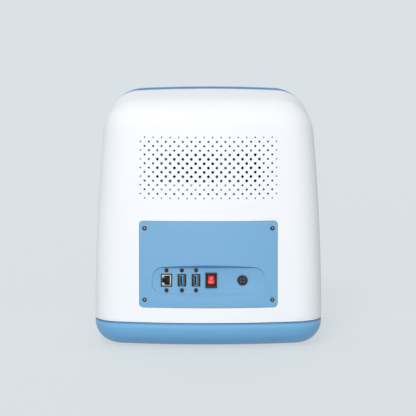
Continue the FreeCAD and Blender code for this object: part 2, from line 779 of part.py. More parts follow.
HOLE_SIDES = 4
vent_holes = []
for row_number in range(int(float(size("vent_rows")))):
    columns = int(float(size("vent_short_row"))) + row_number % 2
    for column in range(columns):
        radius = vent_radius(row_number, column, columns)
        x = (column - (columns - 1) / 2) * float(size("vent_pitch_x"))
        z = float(size("vent_low")) + row_number * float(size("vent_pitch_z"))
        vent_holes.append(hole(x, z, float(radius), HOLE_SIDES))

bezel_depth = size("bezel_thickness")
shell_front = leaning_block("shell_front_cut", -3 * size("body_depth"),
                            bezel_depth + size("run_gap"))
seam_cut = block("seam_cut", (-half_width - BEYOND, half_width + BEYOND),
                 (front - BEYOND, rear + BEYOND), (seam - 2, seam + size("seam_gap")))
shell_blank = cut("shell_blank", shell_outside, shell_cavity, panel_seat, shell_front, seam_cut,
                  *ledge_pilots)
keep("rear_shell", doc.addObject("Part::Feature", "rear_shell"))

# Socket panel: a piece of the skin with a drafted pocket pressed into it

floor_y = rear_y(0, port_level) - size("pocket_depth")
floor_back = floor_y - wall
screw_half = size("port_screw_spacing") / 2


def frustum(name, margin, start):
    """The pocket's form: its flat floor outline, opening outwards at the draft angle."""
    body = new_body(name)
    reach = size("pocket_reach")
    grow = reach * tangent(size("pocket_draft"))
    sections = []
    for step, y, extra in (("floor", start, amount(margin)), ("mouth", start + reach, margin + grow)):
        sketch = sketch_on(body, "XZ_Plane", f"{name}_{step}", -y)
        half_length = size("pocket_length") / 2 + extra
        half_height = size("pocket_height") / 2 + extra
        rounded(sketch, (-half_length, half_length),
                (port_level - half_height, port_level + half_height),
                size("pocket_corner") + extra)
        sections.append(sketch)
    loft = body.newObject("PartDesign::AdditiveLoft", f"{name}_loft")
    loft.Profile = sections[0]
    loft.Sections = sections[1:]
    loft.Ruled = True
    return body


skin = cut("panel_skin_zone", shell_outside, shell_inside)
panel_skin = common("panel_skin", skin, panel_bar("panel_bar", 0, size("panel_corner")))
pan = common("panel_pan", frustum("pan_outside", wall, floor_back), shell_outside)
panel_raw = fuse("panel_raw", panel_skin, pan)


def window(name, x, width, height, along, gap="fit_gap"):
    """A rectangular hole or body around the sockets' common height."""
    half = width / 2 + size(gap) if gap else width / 2
    half_up = height / 2 + size(gap) if gap else height / 2
    return block(name, (x - half, x + half), along, (port_level - half_up, port_level + half_up))


through = (floor_back - 1, floor_y + 1)
lan_x = size("lan_x")
usb_spots = [("1", size("usb_x")), ("2", size("usb_x") - size("usb_spacing"))]
switch_x = -size("switch_x")
inlet_x = -size("inlet_x")
port_cuts = [window("lan_cutout", lan_x, size("lan_width"), size("lan_height"), through)]
for mark, x in usb_spots:
    port_cuts.append(window(f"usb_cutout_{mark}", x, size("usb_width"), size("usb_height"), through))
port_cuts.append(window("switch_cutout", switch_x, size("switch_body_width"),
                        size("switch_body_height"), through))
port_cuts.append(rod("inlet_cutout", "y", (inlet_x, port_level), through,
                     size("inlet_barrel") + size("run_gap")))
port_screw_spots = [(x, port_level + side * screw_half)
                    for x in (lan_x, *[x for mark, x in usb_spots]) for side in (-1, 1)]
for number, spot in enumerate(port_screw_spots, start=1):
    port_cuts.append(rod(f"port_screw_hole_{number}", "y", spot, through,
                         size("port_screw_radius") + size("screw_slack"), SMALL))
for number, (x, z) in enumerate(panel_screw_spots, start=1):
    seat = rear_y(x, z) - size("panel_head")
    port_cuts.append(rod(f"panel_counterbore_{number}", "y", (x, z), (seat, rear + 1),
                         size("panel_head_radius") + size("fit_gap"), 2 * SMALL))
    port_cuts.append(rod(f"panel_screw_hole_{number}", "y", (x, z), (seat - 2 * wall, rear),
                         size("panel_screw_radius") + size("screw_slack"), SMALL))
keep("rear_panel", cut("rear_panel", panel_raw, frustum("pocket", 0, floor_y), *port_cuts))


def screw(name, axis, centre, seat, way, head, shank):
    """A screw: its head on the seat, its shank pointing the other way."""
    head_radius, head_length = head
    radius, length = shank
    top = (seat, seat + head_length) if way > 0 else (seat - head_length, seat)
    stem = (seat - length, seat) if way > 0 else (seat, seat + length)
    return fuse(name, rod(f"{name}_head", axis, centre, top, head_radius, 2 * SMALL),
                rod(f"{name}_shank", axis, centre, stem, radius, SMALL))


keep("panel_screws", group("panel_screws", *[
    screw(f"panel_screw_{n}", "y", spot, rear_y(*spot) - size("panel_head"), 1,
          (size("panel_head_radius"), size("panel_head")),
          (size("panel_screw_radius"), size("panel_screw_length")))
    for n, spot in enumerate(panel_screw_spots, start=1)]))
keep("port_screws", group("port_screws", *[
    screw(f"port_screw_{n}", "y", spot, floor_y, 1,
          (size("port_head_radius"), size("port_head")),
          (size("port_screw_radius"), size("port_screw_length")))
    for n, spot in enumerate(port_screw_spots, start=1)]))


# Sockets: black moulded blocks with screw ears behind the panel floor

def socket_block(name, x, width, height, depth):
    """A moulded block through the floor, with two ears behind it."""
    nose = window(f"{name}_nose", x, width, height, (floor_back - depth, floor_y + size("lan_proud")),
                  gap=None)
    ears = window(f"{name}_ears", x, width, size("ear_height"),
                  (floor_back - size("ear_thickness"), floor_back), gap=None)
    holes = [rod(f"{name}_ear_hole_{n}", "y", (x, port_level + side * screw_half),
                 (floor_back - size("ear_thickness") - 1, floor_back + 1),
                 size("port_screw_radius") + size("run_gap"), SMALL)
             for n, side in enumerate((-1, 1), start=1)]
    return fuse(f"{name}_raw", nose, ears), holes


face_y = floor_y + size("lan_proud")
lan_raw, lan_holes = socket_block("lan_block", lan_x, size("lan_width"), size("lan_height"),
                                  size("lan_depth"))
can_width = size("lan_width") - 2 * size("lan_rim")
can_height = size("lan_height") - 2 * size("lan_rim")
can_back = floor_back - size("lan_depth") + 2
keep("lan_body", cut("lan_body", lan_raw, *lan_holes,
                     window("lan_can_seat", lan_x, can_width, can_height, (can_back, face_y + 1),
                            gap=None)))
mouth_back = face_y - size("lan_mouth_depth")
latch_low = size("lan_mouth_width") / 2
mouth_shift = size("lan_latch_width") / 2


def mouth(name, along):
    """The plug's opening, turned on its side with the latch towards +X."""
    centre = lan_x - mouth_shift
    main = window(f"{name}_main", centre, size("lan_mouth_width"), size("lan_mouth_height"), along,
                  gap=None)
    latch = block(f"{name}_latch", (centre, centre + latch_low + size("lan_latch_width")), along,
                  (port_level - size("lan_latch_height") / 2,
                   port_level + size("lan_latch_height") / 2))
    return fuse(name, main, latch)


insert_front = face_y - size("lan_face")
keep("lan_shield", cut("lan_shield",
                       window("lan_can", lan_x, can_width - size("run_gap"),
                              can_height - size("run_gap"), (can_back, face_y), gap=None),
                       window("lan_can_bore", lan_x, can_width - 2 * size("lan_can"),
                              can_height - 2 * size("lan_can"), (can_back - 1, insert_front),
                              gap=None),
                       mouth("lan_face_mouth", (insert_front - 1, face_y + 1))))
insert_width = can_width - 2 * size("lan_can") - size("run_gap")
insert_height = can_height - 2 * size("lan_can") - size("run_gap")
keep("lan_insert", cut("lan_insert",
                       window("lan_insert_block", lan_x, insert_width, insert_height,
                              (can_back, insert_front), gap=None),
                       mouth("lan_insert_mouth", (mouth_back, insert_front + 1))))
contact_x = lan_x - mouth_shift - latch_low
contacts = []
for number in range(8):
    z = port_level + (number - 3.5) * size("contact_pitch")
    up = (z - size("contact_width") / 2, z + size("contact_width") / 2)
    contacts.append(block(f"lan_contact_{number + 1}",
                          (contact_x, contact_x + size("contact_width")),
                          (mouth_back, insert_front - 2), up))
keep("lan_contacts", group("lan_contacts", *contacts))

for mark, x in usb_spots:
    raw, holes = socket_block(f"usb_block_{mark}", x, size("usb_width"), size("usb_height"),
                              size("usb_depth"))
    half_w = size("usb_shell_width") / 2
    half_h = size("usb_shell_height") / 2
    usb_back = face_y - size("usb_mouth_depth")
    corner = 1.2

    def sleeve(name, margin, along):
        margin = amount(margin)
        return prism(name, (x - half_w - margin, x + half_w + margin),
                     (port_level - half_h - margin, port_level + half_h + margin),
                     corner + margin, along)

    keep(f"usb_body_{mark}", cut(f"usb_body_{mark}", raw, *holes,
                                 sleeve(f"usb_seat_{mark}", size("run_gap") / 2,
                                        (usb_back, face_y + 1))))
    keep(f"usb_shell_{mark}", cut(f"usb_shell_{mark}",
                                  sleeve(f"usb_sleeve_{mark}", 0, (usb_back, face_y)),
                                  sleeve(f"usb_bore_{mark}", -size("usb_sheet"),
                                         (usb_back - 1, face_y + 1))))
    tongue_x = x - size("usb_tongue_offset")
    keep(f"usb_tongue_{mark}", window(f"usb_tongue_{mark}", tongue_x, size("usb_tongue_width"),
                                      size("usb_tongue_height"),
                                      (usb_back, face_y - size("usb_tongue_inset")), gap=None))

# Rocker switch
rim_y = floor_y + size("switch_rim")
pivot_y = floor_y + size("rocker_axis")
well_back = pivot_y - size("rocker_radius") - size("rocker_gap")
rocker_half = size("rocker_width") / 2
well = fuse("switch_well",
            rod("switch_well_round", "x", (pivot_y, port_level),
                (switch_x - rocker_half - size("rocker_gap"),
                 switch_x + rocker_half + size("rocker_gap")),
                size("rocker_radius") + size("rocker_gap")),
            block("switch_well_mouth",
                  (switch_x - rocker_half - size("rocker_gap"),
                   switch_x + rocker_half + size("rocker_gap")),
                  (pivot_y, rim_y + 1),
                  (port_level - size("rocker_radius") - size("rocker_gap"),
                   port_level + size("rocker_radius") + size("rocker_gap"))))
switch_raw = fuse("switch_raw",
                  window("switch_bezel", switch_x, size("switch_width"), size("switch_height"),
                         (floor_y, rim_y), gap=None),
                  window("switch_box", switch_x, size("switch_body_width"),
                         size("switch_body_height"), (rim_y - size("switch_depth"), rim_y),
                         gap=None))
keep("switch_body", cut("switch_body", switch_raw, well))

rocker_body = new_body("rocker")
rocker_sketch = sketch_on(rocker_body, "YZ_Plane", "rocker_profile", switch_x - rocker_half)
tilt = size("rocker_tilt")


def tilted(along, up):
    """A point of the rocker's profile about its pivot, turned to the resting side."""
    along, up = amount(along), amount(up)
    return (pivot_y + along * cosine(tilt) - up * sine(tilt),
            port_level + along * sine(tilt) + up * cosine(tilt))


tip = size("rocker_tip")
reach_up = size("rocker_radius") * 0.95
polygon(rocker_sketch, [
    tilted(-size("rocker_back"), -tip), tilted(-1, -reach_up), tilted(size("rocker_end"), -tip),
    tilted(size("rocker_dip"), 0), tilted(size("rocker_end"), tip), tilted(-1, reach_up),
    tilted(-size("rocker_back"), tip)])
pad(rocker_body, rocker_sketch, size("rocker_width"))
keep("switch_rocker", rocker_body)
terminal_y = rim_y - size("switch_depth")
keep("switch_terminals", group("switch_terminals", *[
    block(f"terminal_{n}", (switch_x - 2.4, switch_x + 2.4),
          (terminal_y - size("terminal_length"), terminal_y), (z - 0.4, z + 0.4))
    for n, z in enumerate((port_level - 6, port_level, port_level + 6), start=1)]))

# Round power inlet
inlet_spot = (inlet_x, port_level)
inlet_end = floor_y - size("inlet_depth")
pin_spots = [(inlet_x + size("pin_circle") * math.cos(math.radians(turn)),
              port_level + size("pin_circle") * math.sin(math.radians(turn)))
             for turn in (45, 135, 225, 315)]
inlet_front = floor_y + size("inlet_rim")
pin_depth = 9
inlet_raw = fuse("inlet_raw",
                 rod("inlet_flange", "y", inlet_spot, (floor_y, inlet_front), size("inlet_radius")),
                 rod("inlet_barrel_rod", "y", inlet_spot, (inlet_end, inlet_front),
                     size("inlet_barrel")))
keep("inlet_body", cut("inlet_body", inlet_raw, *[
    rod(f"inlet_hole_{n}", "y", spot, (inlet_front - pin_depth, inlet_front + 1),
        size("pin_radius") + 0.25, SMALL) for n, spot in enumerate(pin_spots, start=1)]))
keep("inlet_pins", group("inlet_pins", *[
    rod(f"inlet_pin_{n}", "y", spot, (inlet_front - pin_depth, inlet_front - 1.5),
        size("pin_radius"), SMALL) for n, spot in enumerate(pin_spots, start=1)]))
keep("inlet_nut", cut("inlet_nut",
                      rod("inlet_nut_disc", "y", inlet_spot,
                          (floor_back - size("inlet_nut"), floor_back), size("inlet_nut_radius"),
                          SMALL),
                      rod("inlet_nut_bore", "y", inlet_spot,
                          (floor_back - size("inlet_nut") - 1, floor_back + 1),
                          size("inlet_barrel") + size("run_gap"))))

# Front bezel with the screen and the slide slot

glass_mid = size("glass_centre")
glass_half = size("glass_width") / 2
glass_low = glass_mid - size("glass_height") / 2
glass_high = glass_mid + size("glass_height") / 2
lcd_half = size("lcd_width") / 2
lcd_low = glass_mid - size("lcd_height") / 2
lcd_high = glass_mid + size("lcd_height") / 2
gap = size("fit_gap")
glass_back = size("glass_thickness")
lcd_front = glass_back + size("bond_line")
glass_seat = on_front("glass_seat", (-glass_half - gap, glass_half + gap),
                      (glass_low - gap, glass_high + gap), (-1, lcd_front))
lcd_window = on_front("lcd_window", (-lcd_half - gap, lcd_half + gap),
                      (lcd_low - gap, lcd_high + gap), (0, bezel_depth + 1))
slot_half = size("slot_width") / 2
slot_low = seam + size("slot_rise")
slot_high = slot_low + size("slot_height")
tray_slot = block("tray_slot", (-slot_half, slot_half), (front - 1, front + 2 * BEYOND),
                  (slot_low, slot_high))
border = size("bracket_margin")
bracket_screw_spots = [(side * (lcd_half + border / 2), up)
                       for side in (-1, 1)
                       for up in (lcd_low + size("bracket_border") / 2,
                                  lcd_high - size("bracket_border") / 2)]
bezel_pilots = [front_pin(f"bezel_pilot_{n}", x, up, (bezel_depth - 5, bezel_depth + 1),
                          size("small_screw_radius") + size("run_gap"))
                for n, (x, up) in enumerate(bracket_screw_spots, start=1)]
keep("front_bezel", cut("front_bezel", bezel_blank, glass_seat, lcd_window, tray_slot,
                        *bezel_pilots))
keep("screen_glass", on_front("screen_glass", (-glass_half, glass_half), (glass_low, glass_high),
                              (0, glass_back)))
keep("lcd_module", on_front("lcd_module", (-lcd_half, lcd_half), (lcd_low, lcd_high),
                            (lcd_front, lcd_front + size("lcd_thickness"))))
bracket_front = bezel_depth
bracket_back = bezel_depth + size("bracket_sheet")
bracket_plate = on_front("bracket_plate", (-lcd_half - border, lcd_half + border),
                         (lcd_low - border, lcd_high + border), (bracket_front, bracket_back))
bracket_lip = on_front("bracket_lip", (-lcd_half + size("bracket_border"),
                                       lcd_half - size("bracket_border")),
                       (lcd_low + size("bracket_border"), lcd_high - size("bracket_border")),
                       (bracket_front - 1, bracket_back + 1))
bracket_press = on_front("bracket_press", (-lcd_half + gap, lcd_half - gap),
                         (lcd_low + gap, lcd_high - gap),
                         (lcd_front + size("lcd_thickness"), bracket_front + 0.5))
bracket_holes = [front_pin(f"bracket_hole_{n}", x, up, (bracket_front - 1, bracket_back + 1),
                           size("small_screw_radius") + size("screw_slack"))
                 for n, (x, up) in enumerate(bracket_screw_spots, start=1)]
keep("screen_bracket", cut("screen_bracket", fuse("bracket_raw", bracket_plate, bracket_press),
                           bracket_lip, *bracket_holes))
keep("screen_screws", group("screen_screws", *[
    fuse(f"screen_screw_{n}",
         front_pin(f"screen_screw_head_{n}", x, up,
                   (bracket_back, bracket_back + size("small_head")), size("small_head_radius")),
         front_pin(f"screen_screw_shank_{n}", x, up, (bezel_depth - 4.5, bracket_back),
                   size("small_screw_radius")))
    for n, (x, up) in enumerate(bracket_screw_spots, start=1)]))

# Chassis plate on the posts of the base, with the main board behind the optics

chassis_half = size("chassis_width") / 2
chassis_reach = (size("chassis_front"), size("chassis_rear"))
clear = size("small_screw_radius") + size("screw_slack")
chassis_holes = [rod(f"chassis_hole_{n}", "z", spot, (chassis_z - 1, chassis_top + 1), clear, SMALL)
                 for n, spot in enumerate(post_spots, start=1)]
keep("chassis_plate", cut("chassis_plate",
                          block("chassis_blank", (-chassis_half, chassis_half), chassis_reach,
                                (chassis_z, chassis_top)), *chassis_holes))
small_head = (size("small_head_radius"), size("small_head"))
small_shank = (size("small_screw_radius"), size("small_screw_length"))
keep("chassis_screws", group("chassis_screws", *[
    screw(f"chassis_screw_{n}", "z", spot, chassis_top, 1, small_head, small_shank)
    for n, spot in enumerate(post_spots, start=1)]))

board_half = size("board_width") / 2
board_low = chassis_top + size("standoff")
board_top = board_low + size("board_sheet")
inset = size("standoff_inset")
standoff_spots = [(side * (board_half - inset), along) for side in (-1, 1)
                  for along in (size("board_front") + inset, size("board_rear") - inset)]
keep("board_standoffs", group("board_standoffs", *[
    rod(f"standoff_{n}", "z", spot, (chassis_top, board_low), size("standoff_radius"), SMALL)
    for n, spot in enumerate(standoff_spots, start=1)]))
keep("mainboard", block("mainboard", (-board_half, board_half),
                        (size("board_front"), size("board_rear")), (board_low, board_top)))
keep("board_screws", group("board_screws", *[
    rod(f"board_screw_{n}", "z", spot, (board_top, board_top + size("small_head")),
        size("small_head_radius"), SMALL) for n, spot in enumerate(standoff_spots, start=1)]))
sink_half = size("sink_size") / 2
sink_y = (size("board_front") + size("board_rear")) / 2
sink_reach = (sink_y - sink_half, sink_y + sink_half)
fins = [block("sink_foot_plate", (-sink_half, sink_half), sink_reach,
              (board_top, board_top + size("sink_foot")))]
fin_count = int(float(size("fin_count")))
fin_step = (size("sink_size") - size("fin_thickness")) / (fin_count - 1)
for number in range(fin_count):
    low = -sink_half + number * fin_step
    fins.append(block(f"fin_{number + 1}", (low, low + size("fin_thickness")), sink_reach,
                      (board_top, board_top + size("sink_height"))))
keep("heat_sink", fuse("heat_sink", *fins))
connector_y = size("board_rear") - size("connector_depth") - 2
keep("board_connectors", group("board_connectors", *[
    block(f"connector_{n}", (x, x + length), (connector_y, connector_y + size("connector_depth")),
          (board_top, board_top + size("connector_height")))
    for n, (x, length) in enumerate(((-62, 22), (-30, 16), (30, 18), (52, 12)), start=1)]))

# Fan on a sheet bracket behind the vent, and the foam strip below it

fan_x = size("fan_x")
fan_z = size("fan_height")
fan_half = size("fan_size") / 2
fan_front = size("fan_bracket_y") + size("bracket_sheet")
fan_back = fan_front + size("fan_depth")
fan_spot = (fan_x, fan_z)
fan_bore = size("fan_bore")
fan_hub = size("fan_hub")
hole_half = size("fan_hole_spacing") / 2
fan_hole_spots = [(fan_x + a * hole_half, fan_z + b * hole_half) for a in (-1, 1) for b in (-1, 1)]
fan_block = cut("fan_block",
                block("fan_square", (fan_x - fan_half, fan_x + fan_half), (fan_front, fan_back),
                      (fan_z - fan_half, fan_z + fan_half)),
                rod("fan_throat", "y", fan_spot, (fan_front - 1, fan_back + 1), fan_bore))
strut_low = fan_back - size("fan_disc")
strut_half = size("fan_strut") / 2
struts = [rod("fan_motor_disc", "y", fan_spot, (strut_low, fan_back), fan_hub),
          block("fan_strut_upright", (fan_x - strut_half, fan_x + strut_half),
                (strut_low, fan_back), (fan_z - fan_bore - 1, fan_z + fan_bore + 1)),
          block("fan_strut_level", (fan_x - fan_bore - 1, fan_x + fan_bore + 1),
                (strut_low, fan_back), (fan_z - strut_half, fan_z + strut_half))]
keep("fan_frame", cut("fan_frame", fuse("fan_frame_raw", fan_block, *struts), *[
    rod(f"fan_hole_{n}", "y", spot, (fan_front - 1, fan_back + 1), size("fan_hole_radius"), SMALL)
    for n, spot in enumerate(fan_hole_spots, start=1)]))

hub_reach = (strut_low - gap - size("fan_hub_depth"), strut_low - gap)
blade_tip = fan_bore - size("blade_gap")


def blade(name, turn):
    """A flat blade set askew across the air stream, from inside the hub to its tip."""
    piece = doc.addObject("Part::Box", name)
    bind(piece, "Length", blade_tip - fan_hub * 0.8)
    bind(piece, "Width", size("fan_hub_depth") * 0.8)
    bind(piece, "Height", size("blade_thickness"))
    pitch = Rotation(Vector(1, 0, 0), 38)
    spin = Rotation(Vector(0, 1, 0), turn)
    piece.Placement = Placement(Vector(), spin * pitch)
    start = spin.multVec(Vector(1, 0, 0))
    depth = size("fan_hub_depth") * 0.4
    back = (spin * pitch).multVec(Vector(0, 1, 0))
    bind(piece, "Placement.Base.x", fan_x + fan_hub * 0.8 * start.x - depth * back.x)
    bind(piece, "Placement.Base.y", (hub_reach[0] + hub_reach[1]) / 2 - depth * back.y)
    bind(piece, "Placement.Base.z", fan_z + fan_hub * 0.8 * start.z - depth * back.z)
    return piece


blade_count = int(float(size("blade_count")))
keep("fan_rotor", fuse("fan_rotor", rod("fan_hub_cup", "y", fan_spot, hub_reach, fan_hub), *[
    blade(f"blade_{n + 1}", 360 * n / blade_count) for n in range(blade_count)]))

bracket_half = size("fan_bracket_width") / 2
bracket_top = fan_z + fan_half
bracket_y = (size("fan_bracket_y"), fan_front)

fan_bracket_blank = fuse("fan_bracket_blank",
                         block("fan_bracket_plate", (fan_x - bracket_half, fan_x + bracket_half),
                               bracket_y, (chassis_top, bracket_top)),
                         block("fan_bracket_toe", (fan_x - bracket_half, fan_x + bracket_half),
                               (fan_front, fan_front + size("fan_bracket_foot") - 4),
                               (chassis_top, chassis_top + size("bracket_sheet"))))
keep("fan_bracket", cut("fan_bracket", fan_bracket_blank,
                        rod("fan_bracket_throat", "y", fan_spot,
                            (bracket_y[0] - 1, bracket_y[1] + 1), fan_bore),
                        *[rod(f"fan_bracket_hole_{n}", "y", spot,
                              (bracket_y[0] - 1, bracket_y[1] + 1), size("fan_hole_radius"),
                              SMALL)
                          for n, spot in enumerate(fan_hole_spots, start=1)]))
keep("fan_screws", group("fan_screws", *[
    screw(f"fan_screw_{n}", "y", spot, fan_back, 1,
          (size("fan_head_radius"), size("small_head")),
          (size("fan_screw_radius"), size("fan_depth") + size("bracket_sheet") + 1))
    for n, spot in enumerate(fan_hole_spots, start=1)]))
baffle_low = size("baffle_low")
baffle_blank = block("baffle_blank", (fan_x - bracket_half, fan_x + bracket_half),
                     (fan_back, rear), (baffle_low, baffle_low + size("baffle_height")))
baffle_zone = shell_form("baffle_zone", wall + size("baffle_gap"))
baffle_head_room = [rod(f"baffle_notch_{n}", "y", spot, (fan_back - 1, rear),
                        size("fan_head_radius") + gap, 2 * SMALL)
                    for n, spot in enumerate(fan_hole_spots, start=1)]
keep("baffle_foam", cut("baffle_foam", common("baffle_strip", baffle_blank, baffle_zone),
                        *baffle_head_room))

# Tray bed: a plate on posts with two rails, the drive screw and its motor

optical = (0, size("optical_y"))
bed_half = size("bed_width") / 2
bed_low = size("bed_level")
bed_top = bed_low + size("bed_thickness")
bed_reach = (size("bed_front"), size("bed_rear"))
bed_posts = [rod(f"bed_post_{n}", "z", (side * size("bed_post_x"), along), (chassis_top, bed_low),
                 size("bed_post_radius"), SMALL)
             for n, (side, along) in enumerate(
                 [(s, a) for s in (-1, 1)
                  for a in (size("bed_post_front_y"), size("bed_post_rear_y"))], start=1)]
keep("tray_bed", cut("tray_bed", fuse("tray_bed_raw",
                                      block("tray_bed_plate", (-bed_half, bed_half), bed_reach,
                                            (bed_low, bed_top)), *bed_posts),
                     rod("light_hole", "z", optical, (bed_low - 1, bed_top + 1),
                         size("lamp_radius") + 1)))
rail_top = bed_top + size("rail_height")
rail_half = size("rail_width") / 2
rail_reach = (size("bed_front") + 2, size("bed_rear") - 2)
keep("tray_rails", group("tray_rails", *[
    block(f"tray_rail_{n}", (x - rail_half, x + rail_half), rail_reach, (bed_top, rail_top))
    for n, x in enumerate((-size("rail_x"), size("rail_x")), start=1)]))

tray_low = size("tray_level")
tray_top = tray_low + size("tray_thickness")
tray_half = size("tray_width") / 2
bearing_half = size("bearing_width") / 2
slide = size("rail_gap")
bearings = []
for number, x in enumerate((-size("rail_x"), size("rail_x")), start=1):
    reach = (-size("bearing_half_length"), size("bearing_half_length"))
    bearings.append(cut(f"tray_bearing_{number}",
                        block(f"bearing_block_{number}", (x - bearing_half, x + bearing_half),
                              reach, (bed_top + size("bearing_drop"), tray_low)),
                        block(f"bearing_channel_{number}", (x - rail_half - slide, x + rail_half + slide),
                              (reach[0] - 1, reach[1] + 1), (bed_top - 1, rail_top + slide))))
keep("tray_bearings", group("tray_bearings", *bearings))

screw_x = size("screw_x")
screw_z = tray_low - size("screw_radius") - 1
nut_half = size("nut_width") / 2
run = size("run_gap")
ear = block("tray_ear", (tray_half - 1, screw_x + nut_half),
            (-size("ear_half_length"), size("ear_half_length")), (tray_low, tray_top))
window_half = size("slide_length") / 2
window_depth = size("slide_width") / 2
optical_y = size("optical_y")
ledge = size("slide_ledge")
keep("slide_tray", cut("slide_tray",
                       fuse("slide_tray_raw",
                            block("tray_plate", (-tray_half, tray_half),
                                  (size("tray_front"), size("tray_rear")), (tray_low, tray_top)),
                            ear),
                       block("slide_seat", (-window_half, window_half),
                             (optical_y - window_depth, optical_y + window_depth),
                             (tray_top - size("slide_recess"), tray_top + 1)),
                       block("slide_window", (-window_half + 2 * ledge, window_half - 2 * ledge),
                             (optical_y - window_depth + ledge, optical_y + window_depth - ledge),
                             (tray_low - 1, tray_top + 1))))
cap_gap = size("cap_gap")
keep("tray_cap", common("tray_cap", block("tray_cap_blank", (-slot_half + cap_gap, slot_half - cap_gap),
                                          (front - 1, size("tray_front")),
                                          (slot_low + cap_gap, slot_high - cap_gap)),
                        leaning_block("tray_cap_slab", 0, size("body_depth"))))
keep("tray_nut", cut("tray_nut",
                     block("tray_nut_block", (screw_x - nut_half, screw_x + nut_half),
                           (-size("nut_half_length"), size("nut_half_length")),
                           (bed_top + size("bearing_drop"), tray_low)),
                     rod("tray_nut_bore", "y", (screw_x, screw_z),
                         (-2 * size("nut_half_length"), 2 * size("nut_half_length")),
                         size("screw_radius") + run)))
bearing_reach = (size("bed_front") + 1, size("bed_front") + 1 + size("screw_bearing"))
keep("screw_bearing", cut("screw_bearing",
                          block("screw_bearing_block", (screw_x - nut_half, screw_x + nut_half),
                                bearing_reach, (bed_top, tray_low - size("bearing_drop"))),
                          rod("screw_bearing_bore", "y", (screw_x, screw_z),
                              (bearing_reach[0] + 1, bearing_reach[1] + 1),
                              size("screw_radius") + run)))
motor_half = size("tray_motor_size") / 2
motor_front = size("bed_rear")
keep("tray_screw", rod("tray_screw", "y", (screw_x, screw_z),
                       (bearing_reach[0] + 1.3, motor_front - size("motor_plate") + 3),
                       size("screw_radius")))
keep("tray_motor_plate", cut("tray_motor_plate",
                             block("tray_motor_plate_blank",
                                   (screw_x - motor_half, screw_x + motor_half),
                                   (motor_front - size("motor_plate"), motor_front),
                                   (bed_top, screw_z + motor_half)),
                             rod("tray_motor_plate_bore", "y", (screw_x, screw_z),
                                 (motor_front - size("motor_plate") - 1, motor_front + 1),
                                 size("screw_radius") + run)))
keep("tray_motor", block("tray_motor", (screw_x - motor_half, screw_x + motor_half),
                         (motor_front, motor_front + size("tray_motor_length")),
                         (screw_z - motor_half, screw_z + motor_half)))

# Optics: a portal frame over the tray carries the focus rail, tube, objective and camera

frame_half = size("frame_width") / 2
leg = size("frame_leg")
frame_y = size("frame_y")
frame_back = frame_y + size("frame_thickness")
frame_top = size("frame_top")
feet = [block(f"frame_foot_{n}", across, (frame_back - 1, frame_back + size("frame_foot")),
              (chassis_top, chassis_top + size("frame_foot_height")))
        for n, across in enumerate(((-frame_half, -frame_half + leg),
                                    (frame_half - leg, frame_half)), start=1)]
crown_half = size("frame_width") / 4
shoulders = [block(f"frame_shoulder_{n}", across, (frame_y - 1, frame_back + 1),
                   (size("frame_arch") + 2 * leg, frame_top + 1))
             for n, across in enumerate(((-frame_half - 1, -crown_half),
                                         (crown_half, frame_half + 1)), start=1)]
portal = cut("portal", block("portal_blank", (-frame_half, frame_half), (frame_y, frame_back),
                             (chassis_top, frame_top)),
             block("portal_arch", (-frame_half + leg, frame_half - leg), (frame_y - 1, frame_back + 1),
                   (chassis_top - 1, size("frame_arch"))), *shoulders)
keep("optics_frame", fuse("optics_frame", portal, *feet))
rail_w = size("focus_rail_width") / 2
rail_front = frame_y - size("focus_rail_depth")
keep("focus_rail", block("focus_rail", (-rail_w, rail_w), (rail_front, frame_y),
                         (size("focus_rail_low"), size("focus_rail_high"))))
carriage_half = size("carriage_width") / 2
carriage_low, carriage_high = size("carriage_low"), size("carriage_high")
clamp = size("clamp_inset")
carriage_raw = fuse("carriage_raw",
                    block("carriage_block", (-carriage_half, carriage_half),
                          (size("carriage_front"), frame_y - gap), (carriage_low, carriage_high)),
                    rod("carriage_clamp", "z", optical, (carriage_low + clamp, carriage_high - clamp),
                        size("clamp_radius")))
focus_spot = (size("focus_screw_x"), size("focus_screw_y"))
keep("focus_carriage", cut("focus_carriage", carriage_raw,
                           block("carriage_channel", (-rail_w - slide, rail_w + slide),
                                 (rail_front - slide, frame_y + 1),
                                 (carriage_low - 1, carriage_high + 1)),
                           rod("carriage_bore", "z", optical, (carriage_low - 1, carriage_high + 1),
                               size("tube_radius")),
                           rod("carriage_nut_bore", "z", focus_spot,
                               (carriage_low - 1, carriage_high + 1),
                               size("focus_screw_radius") + run)))
keep("camera_tube", rod("camera_tube", "z", optical, (carriage_low, carriage_high),
                        size("tube_radius")))
nose_top = size("objective_low") + size("objective_nose")
keep("objective", fuse("objective",
                       rod("objective_nose", "z", optical, (size("objective_low"), nose_top),
                           size("objective_tip")),
                       rod("objective_body", "z", optical, (nose_top, carriage_low),
                           size("objective_body"))))
camera_half = size("camera_size") / 2
keep("camera", block("camera", (-camera_half, camera_half),
                     (optical_y - camera_half, optical_y + camera_half),
                     (carriage_high, carriage_high + size("camera_height"))))
plate_half = size("focus_motor_size") / 2
plate_reach = (size("focus_screw_y") - plate_half, frame_back)
plate_top = frame_top + size("focus_plate")
keep("focus_motor_plate", cut("focus_motor_plate",
                              block("focus_plate_blank", (-crown_half, crown_half), plate_reach,
                                    (frame_top, plate_top)),
                              rod("focus_plate_bore", "z", focus_spot,
                                  (frame_top - 1, plate_top + 1),
                                  size("focus_screw_radius") + run)))
keep("focus_screw", rod("focus_screw", "z", focus_spot,
                        (size("focus_screw_low"), plate_top - run), size("focus_screw_radius")))
keep("focus_motor", block("focus_motor",
                          (focus_spot[0] - plate_half, focus_spot[0] + plate_half),
                          (focus_spot[1] - plate_half, focus_spot[1] + plate_half),
                          (plate_top, plate_top + size("focus_motor_length"))))
lamp_half = size("lamp_size") / 2
lamp_foot = chassis_top + size("lamp_foot")
